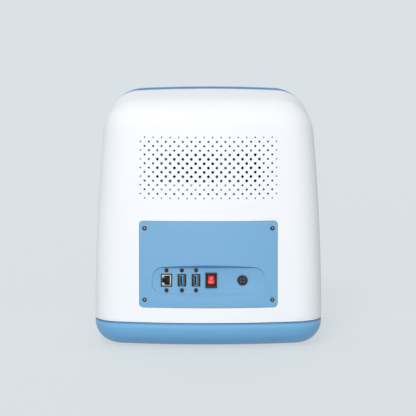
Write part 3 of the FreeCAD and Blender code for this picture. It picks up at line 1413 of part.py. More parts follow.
keep("led_lamp", fuse("led_lamp",
                      block("lamp_base", (-lamp_half, lamp_half),
                            (optical_y - lamp_half, optical_y + lamp_half),
                            (chassis_top, lamp_foot)),
                      rod("lamp_barrel", "z", optical, (lamp_foot, size("lamp_top")),
                          size("lamp_radius"))))
keep("condenser_lens", rod("condenser_lens", "z", optical,
                           (size("lamp_top"), size("lamp_top") + size("lens_height")),
                           size("lens_radius")))


# Check and write the sub-parts

doc.recompute()
NODES["rear_shell"].Shape = shell_blank.Shape.cut(Part.makeCompound(vent_holes))
for thing in doc.Objects:
    if {"Invalid", "Error"} & set(thing.State):
        raise RuntimeError(f"{thing.Name} failed: {thing.State}")
for label, piece in NODES.items():
    if piece.Shape.isNull() or not piece.Shape.isValid() or not piece.Shape.Solids:
        raise RuntimeError(f"{label} has no valid solid")
os.makedirs("parts", exist_ok=True)
for label, piece in NODES.items():
    piece.Shape.exportStep(f"parts/{label}.step")
    print(label, len(piece.Shape.Solids), round(piece.Shape.Volume))
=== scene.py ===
# %% [markdown]
# An automated cell counter, seen from its back. The housing is a moulded white shell with an
# arched section and a double-curved back, over a blue base. This script dresses the solids of the
# frame: it gives each one a finish, and makes the pieces whose looks need finer surfaces than the
# solids have. Everything is in metres, with the bench at z = 0 and the back facing +Y.
# The record names the finish slot and the moving body of each solid, so both are looked up there.

# %% Load the frame
import json
import math

import bmesh
import bpy
import numpy as np
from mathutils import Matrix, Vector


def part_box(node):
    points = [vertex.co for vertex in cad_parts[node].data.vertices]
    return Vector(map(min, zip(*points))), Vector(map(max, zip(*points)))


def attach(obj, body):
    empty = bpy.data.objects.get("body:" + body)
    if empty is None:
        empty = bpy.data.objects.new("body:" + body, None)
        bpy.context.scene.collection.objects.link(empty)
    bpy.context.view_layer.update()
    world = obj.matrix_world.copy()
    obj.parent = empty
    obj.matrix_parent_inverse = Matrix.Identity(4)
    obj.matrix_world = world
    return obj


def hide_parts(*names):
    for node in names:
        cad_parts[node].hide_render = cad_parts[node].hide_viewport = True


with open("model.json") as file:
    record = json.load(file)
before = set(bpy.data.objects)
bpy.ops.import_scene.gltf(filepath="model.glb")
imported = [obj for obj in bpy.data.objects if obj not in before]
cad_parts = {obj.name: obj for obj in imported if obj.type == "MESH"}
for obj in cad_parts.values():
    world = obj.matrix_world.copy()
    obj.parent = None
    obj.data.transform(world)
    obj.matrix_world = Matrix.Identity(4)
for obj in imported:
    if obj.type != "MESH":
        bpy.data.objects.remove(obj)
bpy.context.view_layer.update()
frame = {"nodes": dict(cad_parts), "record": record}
slot_of = {part["node"]: part["material_slot"] for part in frame["record"]["subparts"]}
body_of = {node: body for body, nodes in frame["record"]["behaviour"]["bodies"].items()
           for node in nodes}
print("solids in the frame:", len(frame["nodes"]))

# %% [markdown]
# A surface can be written as a function of two parameters. Work it out on a grid of parameter
# values, and the grid's neighbours are the corners of its quads. Several grids that share a rim
# make one skin once their doubled points are merged. The helpers here turn grids into a mesh.

# %% From grids to meshes
MERGE = 2e-6
SHARP_DEGREES = 35


def quads(rows, columns, first):
    """Corner numbers of a grid's quads: each is a point, its right, diagonal and upper neighbour."""
    corner = first + np.arange(rows * columns).reshape(rows, columns)
    around = [corner[:-1, :-1], corner[:-1, 1:], corner[1:, 1:], corner[1:, :-1]]
    return np.stack(around, -1).reshape(-1, 4)


def mesh_from(name, grids):
    """One mesh from grids of shape rows x columns x 3, with the points that they share merged."""
    points = np.concatenate([grid.reshape(-1, 3) for grid in grids])
    faces = []
    first = 0
    for grid in grids:
        rows, columns = grid.shape[:2]
        faces.append(quads(rows, columns, first))
        first += rows * columns
    faces = np.concatenate(faces)
    mesh = bpy.data.meshes.new(name)
    mesh.vertices.add(len(points))
    mesh.vertices.foreach_set("co", points.astype(np.float32).ravel())
    mesh.loops.add(faces.size)
    mesh.loops.foreach_set("vertex_index", faces.astype(np.int32).ravel())
    mesh.polygons.add(len(faces))
    mesh.polygons.foreach_set("loop_start", np.arange(0, faces.size, 4, dtype=np.int32))
    mesh.update(calc_edges=True)
    tidy(mesh, MERGE)
    return mesh


def tidy(mesh, merge):
    """Merge doubled points, drop the faces that this leaves without area, and face outwards."""
    work = bmesh.new()
    work.from_mesh(mesh)
    bmesh.ops.remove_doubles(work, verts=work.verts, dist=merge)
    bmesh.ops.dissolve_degenerate(work, edges=work.edges, dist=merge / 2)
    bmesh.ops.recalc_face_normals(work, faces=work.faces)
    work.to_mesh(mesh)
    work.free()


def object_of(mesh, sharp=SHARP_DEGREES):
    """An object with its faces shaded smooth, apart from edges sharper than an angle in degrees."""
    thing = bpy.data.objects.new(mesh.name, mesh)
    bpy.context.scene.collection.objects.link(thing)
    shade(mesh, sharp)
    return thing


def shade(mesh, sharp):
    """Smooth shading, with edges sharper than an angle in degrees left hard."""
    mesh.shade_smooth()
    mesh.set_sharp_from_angle(angle=math.radians(sharp))


def apply_modifiers(thing):
    """Keep what the modifiers make as the object's own mesh."""
    graph = bpy.context.evaluated_depsgraph_get()
    made = bpy.data.meshes.new_from_object(thing.evaluated_get(graph))
    made.name = thing.name
    thing.modifiers.clear()
    thing.data = made
    shade(made, SHARP_DEGREES)


def soften(thing, width, segments, degrees):
    """Round the edges that are sharper than an angle, and keep the result."""
    soft = thing.modifiers.new("soft_edges", "BEVEL")
    soft.width = width
    soft.segments = segments
    soft.limit_method = "ANGLE"
    soft.angle_limit = math.radians(degrees)
    apply_modifiers(thing)


def place(thing, body, finish, *nodes):
    """Let a piece ride on a body, take a finish and stand for the solids it replaces.
    """
    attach(thing, body)
    if nodes:
        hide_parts(*nodes)
    thing.data.materials.clear()
    thing.data.materials.append(FINISHES[finish])
    print(thing.name, "faces:", len(thing.data.polygons))


# %% [markdown]
# Shader maths reads best as Python. One small class wraps the output of a node, and its operators
# add Math nodes, so that a mask can be written as a sum. Every other node comes from its node
# method, which sets the node up before it joins the inputs.

# %% Shader maths


class Wire:
    """One output in a material. Its operators add Math nodes, and node() adds any other node."""

    def __init__(self, tree, socket=None):
        self.tree = tree
        self.socket = socket

    def node(self, kind, output=0, settings=None, **values):
        """A new node's output. An input is named, or numbered after an underscore: _0 is the first."""
        new = self.tree.nodes.new(kind)
        for name, setting in (settings or {}).items():
            setattr(new, name, setting)
        for name, value in values.items():
            entry = new.inputs[int(name[1:]) if name[0] == "_" else name.replace("_", " ")]
            if isinstance(value, Wire):
                self.tree.links.new(value.socket, entry)
            else:
                entry.default_value = value
        return Wire(self.tree, new.outputs[output])

    def maths(self, operation, first, second):
        return self.node("ShaderNodeMath", settings={"operation": operation}, _0=first, _1=second)

    def __add__(self, other):
        return self.maths("ADD", self, other)

    def __sub__(self, other):
        return self.maths("SUBTRACT", self, other)

    def __rsub__(self, other):
        return self.maths("SUBTRACT", other, self)

    def __mul__(self, other):
        return self.maths("MULTIPLY", self, other)

    __radd__ = __add__
    __rmul__ = __mul__

    def to(self, shader, entry):
        """Join this output to one input of the surface shader."""
        self.tree.links.new(self.socket, shader.inputs[entry])


# %% [markdown]
# A moulded case isn't one flat colour. Its tool is spark-eroded, so the skin has a fine grain, and
# the resin's tone and gloss drift a little over a hand's breadth. Noise at two sizes gives both:
# the fine one goes into a Bump node, and the wide one moves the colour and the roughness.

# %% Finishes of the moulded pieces
HAND_BREADTH = 0.09
WIDE_SWING = 0.08
FINE_SWING = 0.05
MARK_SWING = 0.16


def new_material(name):
    material = bpy.data.materials.new(name)
    material.use_nodes = True
    tree = material.node_tree
    return material, Wire(tree), tree.nodes["Principled BSDF"]


def noise(start, place_in, size, detail=2.0):
    """Noise between 0 and 1 whose blotches are about size metres wide."""
    return start.node("ShaderNodeTexNoise", output="Fac", settings={"noise_dimensions": "3D"},
                      Vector=place_in, Scale=1 / size, Detail=detail)


def shifted(start, colour, mask, change):
    """A colour that drifts by a share of itself, up where the mask is 1 and down where it is 0."""
    low = tuple(c * (1 - change) for c in colour) + (1,)
    high = tuple(min(1.0, c * (1 + change)) for c in colour) + (1,)
    return start.node("ShaderNodeMix", output=2, settings={"data_type": "RGBA"},
                      _0=mask, _6=low, _7=high)


def moulded(name, colour, roughness, grain=0.00035, depth=0.00002, drift=0.02, coat=0.0):
    """Plastic with the fine grain of its tool; grain and depth are in metres."""
    material, start, shader = new_material(name)
    where = start.node("ShaderNodeTexCoord", output="Object")
    wide = noise(start, where, HAND_BREADTH)
    fine = noise(start, where, grain, detail=1.0)
    shifted(start, colour, wide, drift).to(shader, "Base Color")
    least = roughness - (WIDE_SWING + FINE_SWING) / 2
    (wide * WIDE_SWING + fine * FINE_SWING + least).to(shader, "Roughness")
    bump = start.node("ShaderNodeBump", Height=fine, Strength=1.0, Distance=depth)
    bump.to(shader, "Normal")
    shader.inputs["Specular IOR Level"].default_value = 0.45
    shader.inputs["Coat Weight"].default_value = coat
    shader.inputs["Coat Roughness"].default_value = 0.12
    return material


# %% [markdown]
# Two marks of light and shade are finer than any lamp here can draw, so they are painted: painted
# shade on walls that face down, and at the base's seam a painted shadow line with painted light on
# the pale lip below it. Both are tints that multiply the colour by a mask, one from the normal's
# height and one from the place's.

# %% Painted shade and light on the moulded pieces
# Heights of the normal between which the painted shade on walls that face down fades in.
LEANING = 0.2
FACING_DOWN = 0.5
# Depths under the seam, in metres, and tints: the painted shadow line, and the lip's painted light.
SEAM_SHADOW_DEPTH = (0.0014, 0.0026)
LIP_LIGHT_DEPTH = (0.006, 0.0085)
LIP_LIGHT_TINT = (1.13, 1.12, 1.08)
SEAM_SHADOW_TINT = (0.5, 0.58, 0.7)


def tinted(material, mask, tint):
    """Multiply a moulding's colour by a tint where a mask is 1."""
    shader = material.node_tree.nodes["Principled BSDF"]
    plain = Wire(material.node_tree, shader.inputs["Base Color"].links[0].from_socket)
    plain.node("ShaderNodeMix", output=2,
               settings={"data_type": "RGBA", "blend_type": "MULTIPLY"},
               _0=mask, _6=plain, _7=tint + (1,)).to(shader, "Base Color")


def painted_shade_below(material, tint):
    """Painted shade: deepen a moulding's colour where its skin faces down, as walls in shade are.

    The mask rises from 0 to 1 while the normal's height falls between two values.
    """
    normal = Wire(material.node_tree).node("ShaderNodeNewGeometry", output="Normal")
    up = normal.node("ShaderNodeSeparateXYZ", output="Z", _0=normal)
    mask = up.node("ShaderNodeMapRange", output="Result", Value=up, From_Min=-LEANING,
                   From_Max=-FACING_DOWN, To_Min=0.0, To_Max=1.0)
    tinted(material, mask, tint)
    return material


def seam_shadow_and_lip_light(material, seam):
    """A level seam with painted shadow and light: a dark line just under it, painted shadow under the
    shell's overhang, and a pale lip below that, painted light.
    """
    where = Wire(material.node_tree).node("ShaderNodeTexCoord", output="Object")
    height = where.node("ShaderNodeSeparateXYZ", output="Z", _0=where)

    def above(depths):
        high, low = depths
        return height.node("ShaderNodeMapRange", output="Result", Value=height,
                           From_Min=seam - low, From_Max=seam - high, To_Min=0.0, To_Max=1.0)

    # line is the painted shadow just under the seam; the band below it is the lip's painted light.
    line = above(SEAM_SHADOW_DEPTH)
    tinted(material, above(LIP_LIGHT_DEPTH) - line, LIP_LIGHT_TINT)
    tinted(material, line, SEAM_SHADOW_TINT)
    return material


# %% [markdown]
# Metal scatters light from its fine marks, and its colour is that of its reflections. Glass is
# smooth, with faint smears. The list that follows names a finish for each of the record's slots,
# and then six that only this scene has.

# %% Metal, glass and the list of finishes
GLASS_INDEX = 1.5


def metal(name, colour, roughness, stretch=(1, 1, 1), scratch=0.0004, depth=0.000006):
    """Metal with fine marks, drawn out along an axis where stretch is large there."""
    material, start, shader = new_material(name)
    where = start.node("ShaderNodeTexCoord", output="Object")
    drawn = start.node("ShaderNodeMapping", Vector=where, Scale=tuple(1 / s for s in stretch))
    marks = noise(start, drawn, scratch, detail=3.0)
    wide = noise(start, where, 0.02)
    shifted(start, colour, wide, 0.06).to(shader, "Base Color")
    least = roughness - (MARK_SWING + WIDE_SWING) / 2
    (marks * MARK_SWING + wide * WIDE_SWING + least).to(shader, "Roughness")
    bump = start.node("ShaderNodeBump", Height=marks, Strength=1.0, Distance=depth)
    bump.to(shader, "Normal")
    shader.inputs["Metallic"].default_value = 1.0
    return material


def clear(name, colour, roughness, passing):
    """Glass: passing is the share of light that goes through."""
    material, start, shader = new_material(name)
    where = start.node("ShaderNodeTexCoord", output="Object")
    smears = noise(start, where, 0.03, detail=4.0)
    shifted(start, colour, smears, 0.03).to(shader, "Base Color")
    (smears * 0.05 + roughness).to(shader, "Roughness")
    shader.inputs["Transmission Weight"].default_value = passing
    shader.inputs["IOR"].default_value = GLASS_INDEX
    return material


def linear(red, green, blue):
    """Screen colour from 0 to 255, as the linear light that shaders work in."""
    values = np.array([red, green, blue]) / 255
    low = values / 12.92
    high = ((values + 0.055) / 1.055) ** 2.4
    return tuple(float(v) for v in np.where(values <= 0.04045, low, high))


FINISHES = {
    "white_shell": moulded("white_shell", linear(242, 243, 245), 0.5),
    # Blue base: a painted shadow line under the seam and painted light on the lip below it.
    "blue_shell": seam_shadow_and_lip_light(moulded("blue_shell", linear(112, 172, 214), 0.4, coat=0.1),
                           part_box("front_bezel")[0].z),
    # Blue panel: painted shade where its walls face down, such as the pocket's upper wall.
    "blue_panel": painted_shade_below(moulded("blue_panel", linear(118, 170, 208), 0.46),
                               (0.62, 0.68, 0.86)),
    "black_plastic": moulded("black_plastic", linear(17, 18, 20), 0.42),
    "blue_tongue": moulded("blue_tongue", linear(4, 150, 232), 0.3),
    # Red rocker: painted shade on its lower end, which faces down.
    "red_rocker": painted_shade_below(moulded("red_rocker", linear(216, 34, 34), 0.42),
                               (0.5, 0.25, 0.3)),
    "white_plastic": moulded("white_plastic", linear(225, 224, 218), 0.4),
    "lcd": moulded("lcd", linear(14, 18, 24), 0.15),
    "board": moulded("board", linear(20, 92, 52), 0.35),
    "foam": moulded("foam", linear(196, 198, 196), 0.95, grain=0.0012, depth=0.0004),
    "black_rubber": moulded("black_rubber", linear(24, 24, 25), 0.8, grain=0.0006),
    "black_screw": metal("black_screw", linear(52, 50, 50), 0.42),
    "steel": metal("steel", linear(178, 180, 184), 0.34),
    "plated_steel": metal("plated_steel", linear(178, 170, 158), 0.32),
    "gold_contact": metal("gold_contact", linear(212, 176, 92), 0.26),
    "aluminium": metal("aluminium", linear(196, 199, 203), 0.36, stretch=(12, 1, 1)),
    "screen_glass": clear("screen_glass", linear(12, 14, 18), 0.04, 0.0),
    "lens_glass": clear("lens_glass", linear(225, 235, 238), 0.02, 0.9),
    "bezel_blue": moulded("bezel_blue", linear(84, 138, 186), 0.42),
    "mark_paint": moulded("mark_paint", linear(240, 170, 168), 0.5),
    # Panel screw heads: painted shade, dark for the shade of their counterbores; their key recesses: a
    # painted highlight.
    "painted_shade_steel": metal("painted_shade_steel", linear(70, 67, 66), 0.4),
    "painted_highlight_key": metal("painted_highlight_key", linear(150, 143, 136), 0.36),
    # Port screw key recesses: bare steel where the black wears off, painted paler as a painted
    # highlight.
    "worn_key_and_highlight": metal("worn_key_and_highlight", linear(96, 84, 76), 0.5),
    "dull_pin": metal("dull_pin", linear(176, 178, 180), 0.45),
}
for node_name, solid in frame["nodes"].items():
    solid.data.materials.clear()
    solid.data.materials.append(FINISHES[slot_of[node_name]])
frame["nodes"]["inlet_pins"].data.materials[0] = FINISHES["dull_pin"]
print("finishes:", len(FINISHES))

# %% [markdown]
# The upper shell is an arch pushed along Y and closed by a curved back. Every number of its form
# is a radius or a centre, so the outline is three tangent arcs per side, and the back is part of a
# torus. The same numbers give the normal, which the rounded edge between the two needs.

# %% Form of the housing
HALF_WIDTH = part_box("base_tray")[1].x
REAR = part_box("base_tray")[1].y
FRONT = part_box("front_bezel")[0].y
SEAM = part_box("front_bezel")[0].z
SHELL_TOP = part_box("rear_shell")[1].z
SHELL_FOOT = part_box("rear_shell")[0].z
SIDE_RADIUS = 2.850
SHOULDER_RADIUS = 0.048
CROWN_RADIUS = 2.000
REAR_BULGE = 0.560
REAR_SWEEP = 1.500
REAR_EDGE = 0.042
WALL = 0.003
LEAN = math.radians(12.6)
SHELL_DEPTH_IN_FRONT = 0.0121
SWEEP_AXIS = REAR - REAR_SWEEP
print("half width, rear, seam, top:", HALF_WIDTH, REAR, SEAM, SHELL_TOP)


def reach_at(across, inset=0.0):
    """Distance of the skin from the level axis that it is turned about: an arc of the bulge."""
    return REAR_SWEEP - REAR_BULGE + np.sqrt((REAR_BULGE - inset) ** 2 - across ** 2)


def back_y(across, height, inset=0.0):
    """Y of the back: the axis plus the leg of a right triangle on the reach."""
    return SWEEP_AXIS + np.sqrt(reach_at(across, inset) ** 2 - (height - SEAM) ** 2)


def back_normal(across, height, inset):
    """Outward normal of the back: the arc's normal in plan, leaned by the turn about the axis."""
    lean = (height - SEAM) / reach_at(across, inset)
    aside = across / (REAR_BULGE - inset)
    level = np.sqrt(1 - aside ** 2)
    return np.stack([aside, level * np.sqrt(1 - lean ** 2), level * lean], -1)


def crossing(first, first_radius, second, second_radius):
    """Right-hand crossing of two circles."""
    gap = np.linalg.norm(second - first)
    along = (first_radius ** 2 - second_radius ** 2 + gap ** 2) / (2 * gap)
    off = math.sqrt(first_radius ** 2 - along ** 2)
    unit = (second - first) / gap
    aside = off * np.array([-unit[1], unit[0]])
    return first + along * unit + aside * math.copysign(1, aside[0])


class Arch:
    """The arched outline as a function of the length from its right foot, with its normal.

    The normal turns from level to upright through three angles: side, shoulder and crown.
    """

    def __init__(self, half, top, shoulder, foot):
        self.radii = np.array([SIDE_RADIUS, shoulder, CROWN_RADIUS])
        side = np.array([half - SIDE_RADIUS, SEAM])
        crown = np.array([0.0, top - CROWN_RADIUS])
        corner = crossing(side, SIDE_RADIUS - shoulder, crown, CROWN_RADIUS - shoulder)
        self.centres = np.stack([side, corner, crown])
        low = math.asin((foot - SEAM) / SIDE_RADIUS)
        into_corner = math.atan2(*(corner - side)[::-1])
        into_crown = math.atan2(*(corner - crown)[::-1])
        self.turns = np.array([low, into_corner, into_crown, math.pi / 2])
        lengths = self.radii * np.diff(self.turns)
        self.starts = np.concatenate([[0.0], np.cumsum(lengths)])
        self.half_length = self.starts[3]

    def at(self, length):
        """Points (x, z) and normals at lengths from the right foot over the top to the left."""
        right = length <= self.half_length
        run = np.where(right, length, 2 * self.half_length - length)
        which = np.clip(np.searchsorted(self.starts, run, side="right") - 1, 0, 2)
        turn = self.turns[which] + (run - self.starts[which]) / self.radii[which]
        normal = np.stack([np.cos(turn), np.sin(turn)], -1)
        point = self.centres[which] + self.radii[which][:, None] * normal
        sign = np.stack([np.where(right, 1.0, -1.0), np.ones(len(length))], -1)
        return point * sign, normal * sign


# %% [markdown]
# The shell's skin is made of grids that share their rims. One follows the arch from the front
# edge to the back and rolls over the rounded rear edge like a ball in a corner: the ball's centre
# lies one radius inside both skins, so its path is known, and the skin between the two contacts
# is an arc about it. Two ring-shaped grids lie between that edge, the vent field and the opening
# for the socket panel. They are drawn flat and then laid on the back.

# %% Rings of the back
PITCH = 0.01155
ROW_PITCH = 0.00583
VENT_LOW = 0.2071
VENT_ROWS = 15
LONG_ROW = 17
VENT_HALF = LONG_ROW * PITCH / 2
VENT_FOOT = VENT_LOW - ROW_PITCH / 2
VENT_HEAD = VENT_FOOT + VENT_ROWS * ROW_PITCH
ACROSS = 6 * LONG_ROW
UPWARDS = 2 * VENT_ROWS
LOW_SIDE = 24
SPLIT = 0.190


def line(start, end, count):
    """Points on a straight line, without its last one."""
    steps = np.linspace(0, 1, count + 1)[:-1, None]
    return (1 - steps) * np.array(start) + steps * np.array(end)


def rectangle_loop(half, low, high, up, over):
    """A rectangle as a closed loop from its lower right corner, anticlockwise seen from -Y."""
    corners = [(half, low), (half, high), (-half, high), (-half, low)]
    parts = [line(corners[i], corners[(i + 1) % 4], (up, over)[i % 2]) for i in range(4)]
    return np.concatenate(parts)


def rounded_loop(half, low, high, radius, up, over, corner=4):
    """A rectangle with round corners as a loop, each side from corner middle to corner middle."""
    centres = [(half - radius, low + radius), (half - radius, high - radius),
               (-half + radius, high - radius), (-half + radius, low + radius)]
    parts = []
    for i in range(4):
        count = (up, over)[i % 2] - 2 * corner
        start, end = np.array(centres[i]), np.array(centres[(i + 1) % 4])
        out = np.array([math.cos(i * math.pi / 2), math.sin(i * math.pi / 2)])
        swing = np.linspace(-math.pi / 4, 0, corner + 1)[:-1] + i * math.pi / 2
        circle = np.stack([np.cos(swing), np.sin(swing)], -1)
        parts.append(start + radius * circle)
        parts.append(line(start + radius * out, end + radius * out, count))
        swing = np.linspace(0, math.pi / 4, corner + 1)[:-1] + i * math.pi / 2
        circle = np.stack([np.cos(swing), np.sin(swing)], -1)
        parts.append(end + radius * circle)
    return np.concatenate(parts)


def ring(inner, outer, steps):
    """A flat ring between two loops of equal length, as a grid that closes on itself."""
    inner = np.concatenate([inner, inner[:1]])
    outer = np.concatenate([outer, outer[:1]])
    share = np.linspace(0, 1, steps + 1)[:, None, None]
    return (1 - share) * inner + share * outer


def laid_on_back(flat, inset=0.0):
    """Flat points (x, z) laid on the back."""
    return np.stack([flat[..., 0], back_y(flat[..., 0], flat[..., 1], inset), flat[..., 1]], -1)


shell_arch = Arch(HALF_WIDTH, SHELL_TOP, SHOULDER_RADIUS, SHELL_FOOT)
shoulder_middle = (shell_arch.starts[1] + shell_arch.starts[2]) / 2
split_length = SPLIT - SHELL_FOOT
whole = 2 * shell_arch.half_length
lengths = np.concatenate([
    np.linspace(0, split_length, LOW_SIDE + 1)[:-1],
    np.linspace(split_length, shoulder_middle, UPWARDS + 1)[:-1],
    np.linspace(shoulder_middle, whole - shoulder_middle, ACROSS + 1)[:-1],
    np.linspace(whole - shoulder_middle, whole - split_length, UPWARDS + 1)[:-1],
    np.linspace(whole - split_length, whole, LOW_SIDE + 1)])
arch_points, arch_normals = shell_arch.at(lengths)


def rolled_edge(points, normals, radius, steps):
    """From the straight arch to the back: the ball's centre plus its radius, swung between the
    arch's normal and the back's. Each row is one place on the arch."""
    centre = points - radius * normals
    hub = laid_on_back(centre, radius)
    start = np.stack([normals[:, 0], np.zeros(len(normals)), normals[:, 1]], -1)
    end = back_normal(centre[:, 0], centre[:, 1], radius)
    angle = np.arccos(np.clip((start * end).sum(-1), -1, 1))[:, None, None]
    share = np.linspace(0, 1, steps + 1)[None, :, None]
    swung = (np.sin((1 - share) * angle) * start[:, None] + np.sin(share * angle) * end[:, None])
    return hub[:, None] + radius * swung / np.sin(angle)


rear_edge = rolled_edge(arch_points, arch_normals, REAR_EDGE, 10)
edge_start = rear_edge[:, 0]
front_edge_y = FRONT + (arch_points[:, 1] - SEAM) * math.tan(LEAN) + (
    SHELL_DEPTH_IN_FRONT / math.cos(LEAN))
share = np.linspace(0, 1, 7)[None, :, None]
front_edge = np.stack([arch_points[:, 0], front_edge_y, arch_points[:, 1]], -1)
arch_wall = (1 - share) * front_edge[:, None] + share * edge_start[:, None]

contact = rear_edge[:, -1][:, [0, 2]]
high_end = LOW_SIDE + 2 * UPWARDS + ACROSS
split_right = contact[LOW_SIDE]
split_left = contact[high_end]
upper_rim = np.concatenate([contact[LOW_SIDE:high_end], line(split_left, split_right, ACROSS)])
lower_rim = np.concatenate([contact[:LOW_SIDE], line(split_right, split_left, ACROSS),
                            contact[high_end:-1], line(contact[-1], contact[0], ACROSS)])
vent_loop = rectangle_loop(VENT_HALF, VENT_FOOT, VENT_HEAD, UPWARDS, ACROSS)

PANEL_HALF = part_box("rear_panel")[1].x
PANEL_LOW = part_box("rear_panel")[0].z
PANEL_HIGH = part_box("rear_panel")[1].z
PANEL_GAP = 0.0004
PANEL_CORNER = 0.005
seat_loop = rounded_loop(PANEL_HALF + PANEL_GAP, PANEL_LOW - PANEL_GAP, PANEL_HIGH + PANEL_GAP,
                         PANEL_CORNER + PANEL_GAP, LOW_SIDE, ACROSS)
upper_back = laid_on_back(ring(vent_loop, upper_rim, 12))
lower_back = laid_on_back(ring(seat_loop, lower_rim, 10))
print("points round the vent, the panel:", len(vent_loop), len(seat_loop))

# %% [markdown]
# The vent has fifteen rows of round holes, every other row shifted by half a pitch, and the holes
# shrink towards the edges of the field. Each hole sits in its own small rectangle. A grid from the
# hole's circle to the rectangle's rim, with sixteen spokes, meets its neighbours point to point,
# because six spokes share the pitch and the shift is three of them.

# %% Vent cells
SPOKES = 16
HOLE_LARGE = 0.0019
HOLE_MEDIUM = 0.00145
HOLE_SMALL = 0.00102


def cell_rim():
    """Sixteen points round a cell, anticlockwise from the middle of its right side."""
    half, tall = PITCH / 2, ROW_PITCH / 2
    top = np.stack([np.linspace(half, -half, 7), np.full(7, tall)], -1)
    bottom = -top
    return np.concatenate([[(half, 0)], top, [(-half, 0)], bottom])


def hole_radii(columns, row):
    """Radii in one row: outer rows and the ends of long rows small, the next ones medium."""
    column = np.arange(columns)
    from_end = np.minimum(column, columns - 1 - column)
    from_row_end = min(row, VENT_ROWS - 1 - row)
    radii = np.full(columns, HOLE_LARGE)
    radii[(from_end < 2) | (from_row_end < 4)] = HOLE_MEDIUM
    if from_row_end == 0:
        radii[:] = HOLE_SMALL
    if columns == LONG_ROW:
        radii[from_end == 0] = HOLE_SMALL
    return radii


rim = cell_rim()
turns = np.arange(SPOKES) * 2 * math.pi / SPOKES
circle = np.stack([np.cos(turns), np.sin(turns)], -1)
steps = np.array([0.0, 0.35, 1.0])[:, None, None]
vent_cells = []
for row in range(VENT_ROWS):
    columns = LONG_ROW - 1 + row % 2
    height = VENT_LOW + row * ROW_PITCH
    middles = (np.arange(columns) - (columns - 1) / 2) * PITCH
    for middle, radius in zip(middles, hole_radii(columns, row)):
        flat = (1 - steps) * radius * circle + steps * rim + np.array([middle, height])
        vent_cells.append(laid_on_back(np.concatenate([flat, flat[:, :1]], 1)))
    if columns < LONG_ROW:
        for side in (-1, 1):
            ends = np.sort(side * np.array([VENT_HALF - PITCH / 2, VENT_HALF]))
            grid = np.meshgrid(np.linspace(*ends, 4), height + ROW_PITCH * np.array([-0.5, 0, 0.5]))
            vent_cells.append(laid_on_back(np.stack(grid, -1)))
print("vent grids:", len(vent_cells))

# %% [markdown]
# Solidify gives the skin its wall, holes and all, and a narrow bevel softens every rim, as the
# real moulding's rims are. The skin has to face outwards first, or the wall would grow outwards.

# %% Rear shell
shell_mesh = mesh_from("shell_skin", [arch_wall, rear_edge, upper_back, lower_back, *vent_cells])
shell = object_of(shell_mesh)
wall = shell.modifiers.new("wall", "SOLIDIFY")
wall.thickness = WALL
wall.offset = -1
soften(shell, width=0.0003, segments=2, degrees=60)
place(shell, "housing", "white_shell", "rear_shell")

# %% [markdown]
# The solids have knife-sharp edges, and nothing real has. Where a solid's form is right, a merged
# copy with a bevel on its sharp edges is all it needs: the narrow faces catch the light as a
# moulding's or a folded sheet's edges do. Each edge has its own weight, so that the rim of the
# leaning front and the lip of the base at the seam come out wider than the rest.

# %% Solids with eased edges
EASED = {
    "base_tray": 0.0006, "front_bezel": 0.001, "rear_panel": 0.0003, "switch_body": 0.0005,
    "lan_body": 0.0003, "usb_body_1": 0.0003, "usb_body_2": 0.0003, "usb_shell_1": 0.00015,
    "usb_shell_2": 0.00015, "usb_tongue_1": 0.0002, "usb_tongue_2": 0.0002, "inlet_body": 0.0004,
    "tray_cap": 0.0008, "slide_tray": 0.0004, "screen_glass": 0.0008, "rubber_feet": 0.0006,
    "tray_bearings": 0.0004, "optics_frame": 0.001, "focus_carriage": 0.0008, "camera": 0.001,
    "fan_frame": 0.0006, "fan_rotor": 0.0003, "baffle_foam": 0.0015, "tray_motor": 0.001,
    "focus_motor": 0.001, "heat_sink": 0.0003,
}
FRONT_WIDTH = 0.004
SEAM_WIDTH = 0.0018
SHARP = math.radians(SHARP_DEGREES)
FLAT = math.radians(0.3)
NEAR = 0.001
LEVEL = 0.0001
WITH_FRONT_RIM = ("base_tray", "front_bezel")
DARKER_BLUE = ("front_bezel", "tray_cap")
CORNER_X = HALF_WIDTH - REAR_EDGE
CORNER_Y = REAR - REAR_BULGE + math.sqrt((REAR_BULGE - REAR_EDGE) ** 2 - CORNER_X ** 2)
CORNER_DEPTH = 0.09
RIM_ASIDE = 0.02
RIM_BELOW_TOP = 0.03


def on_front_rim(spot):
    """Whether a point lies on the outer rim of the leaning front."""
    ahead = spot.y < FRONT + max(0.0, spot.z - SEAM) * math.tan(LEAN) + 2 * NEAR
    outer = (abs(spot.x) > HALF_WIDTH - RIM_ASIDE or spot.z > SHELL_TOP - RIM_BELOW_TOP
             or spot.z < SEAM - 2 * NEAR)
    return ahead and outer


def on_seam_rim(spot):
    """Whether a point lies on the base's outer top edge: its sides, its back or a corner."""
    skin = reach_at(spot.x, WALL / 2) - REAR_SWEEP + REAR
    from_corner = math.hypot(abs(spot.x) - CORNER_X, spot.y - CORNER_Y)
    beside = abs(spot.x) > HALF_WIDTH - NEAR
    behind = spot.y > min(skin, REAR - NEAR)
    corner = (abs(spot.x) > CORNER_X and spot.y > REAR - CORNER_DEPTH
              and from_corner > REAR_EDGE - NEAR)
    return abs(spot.z - SEAM) < LEVEL and (beside or behind or corner)


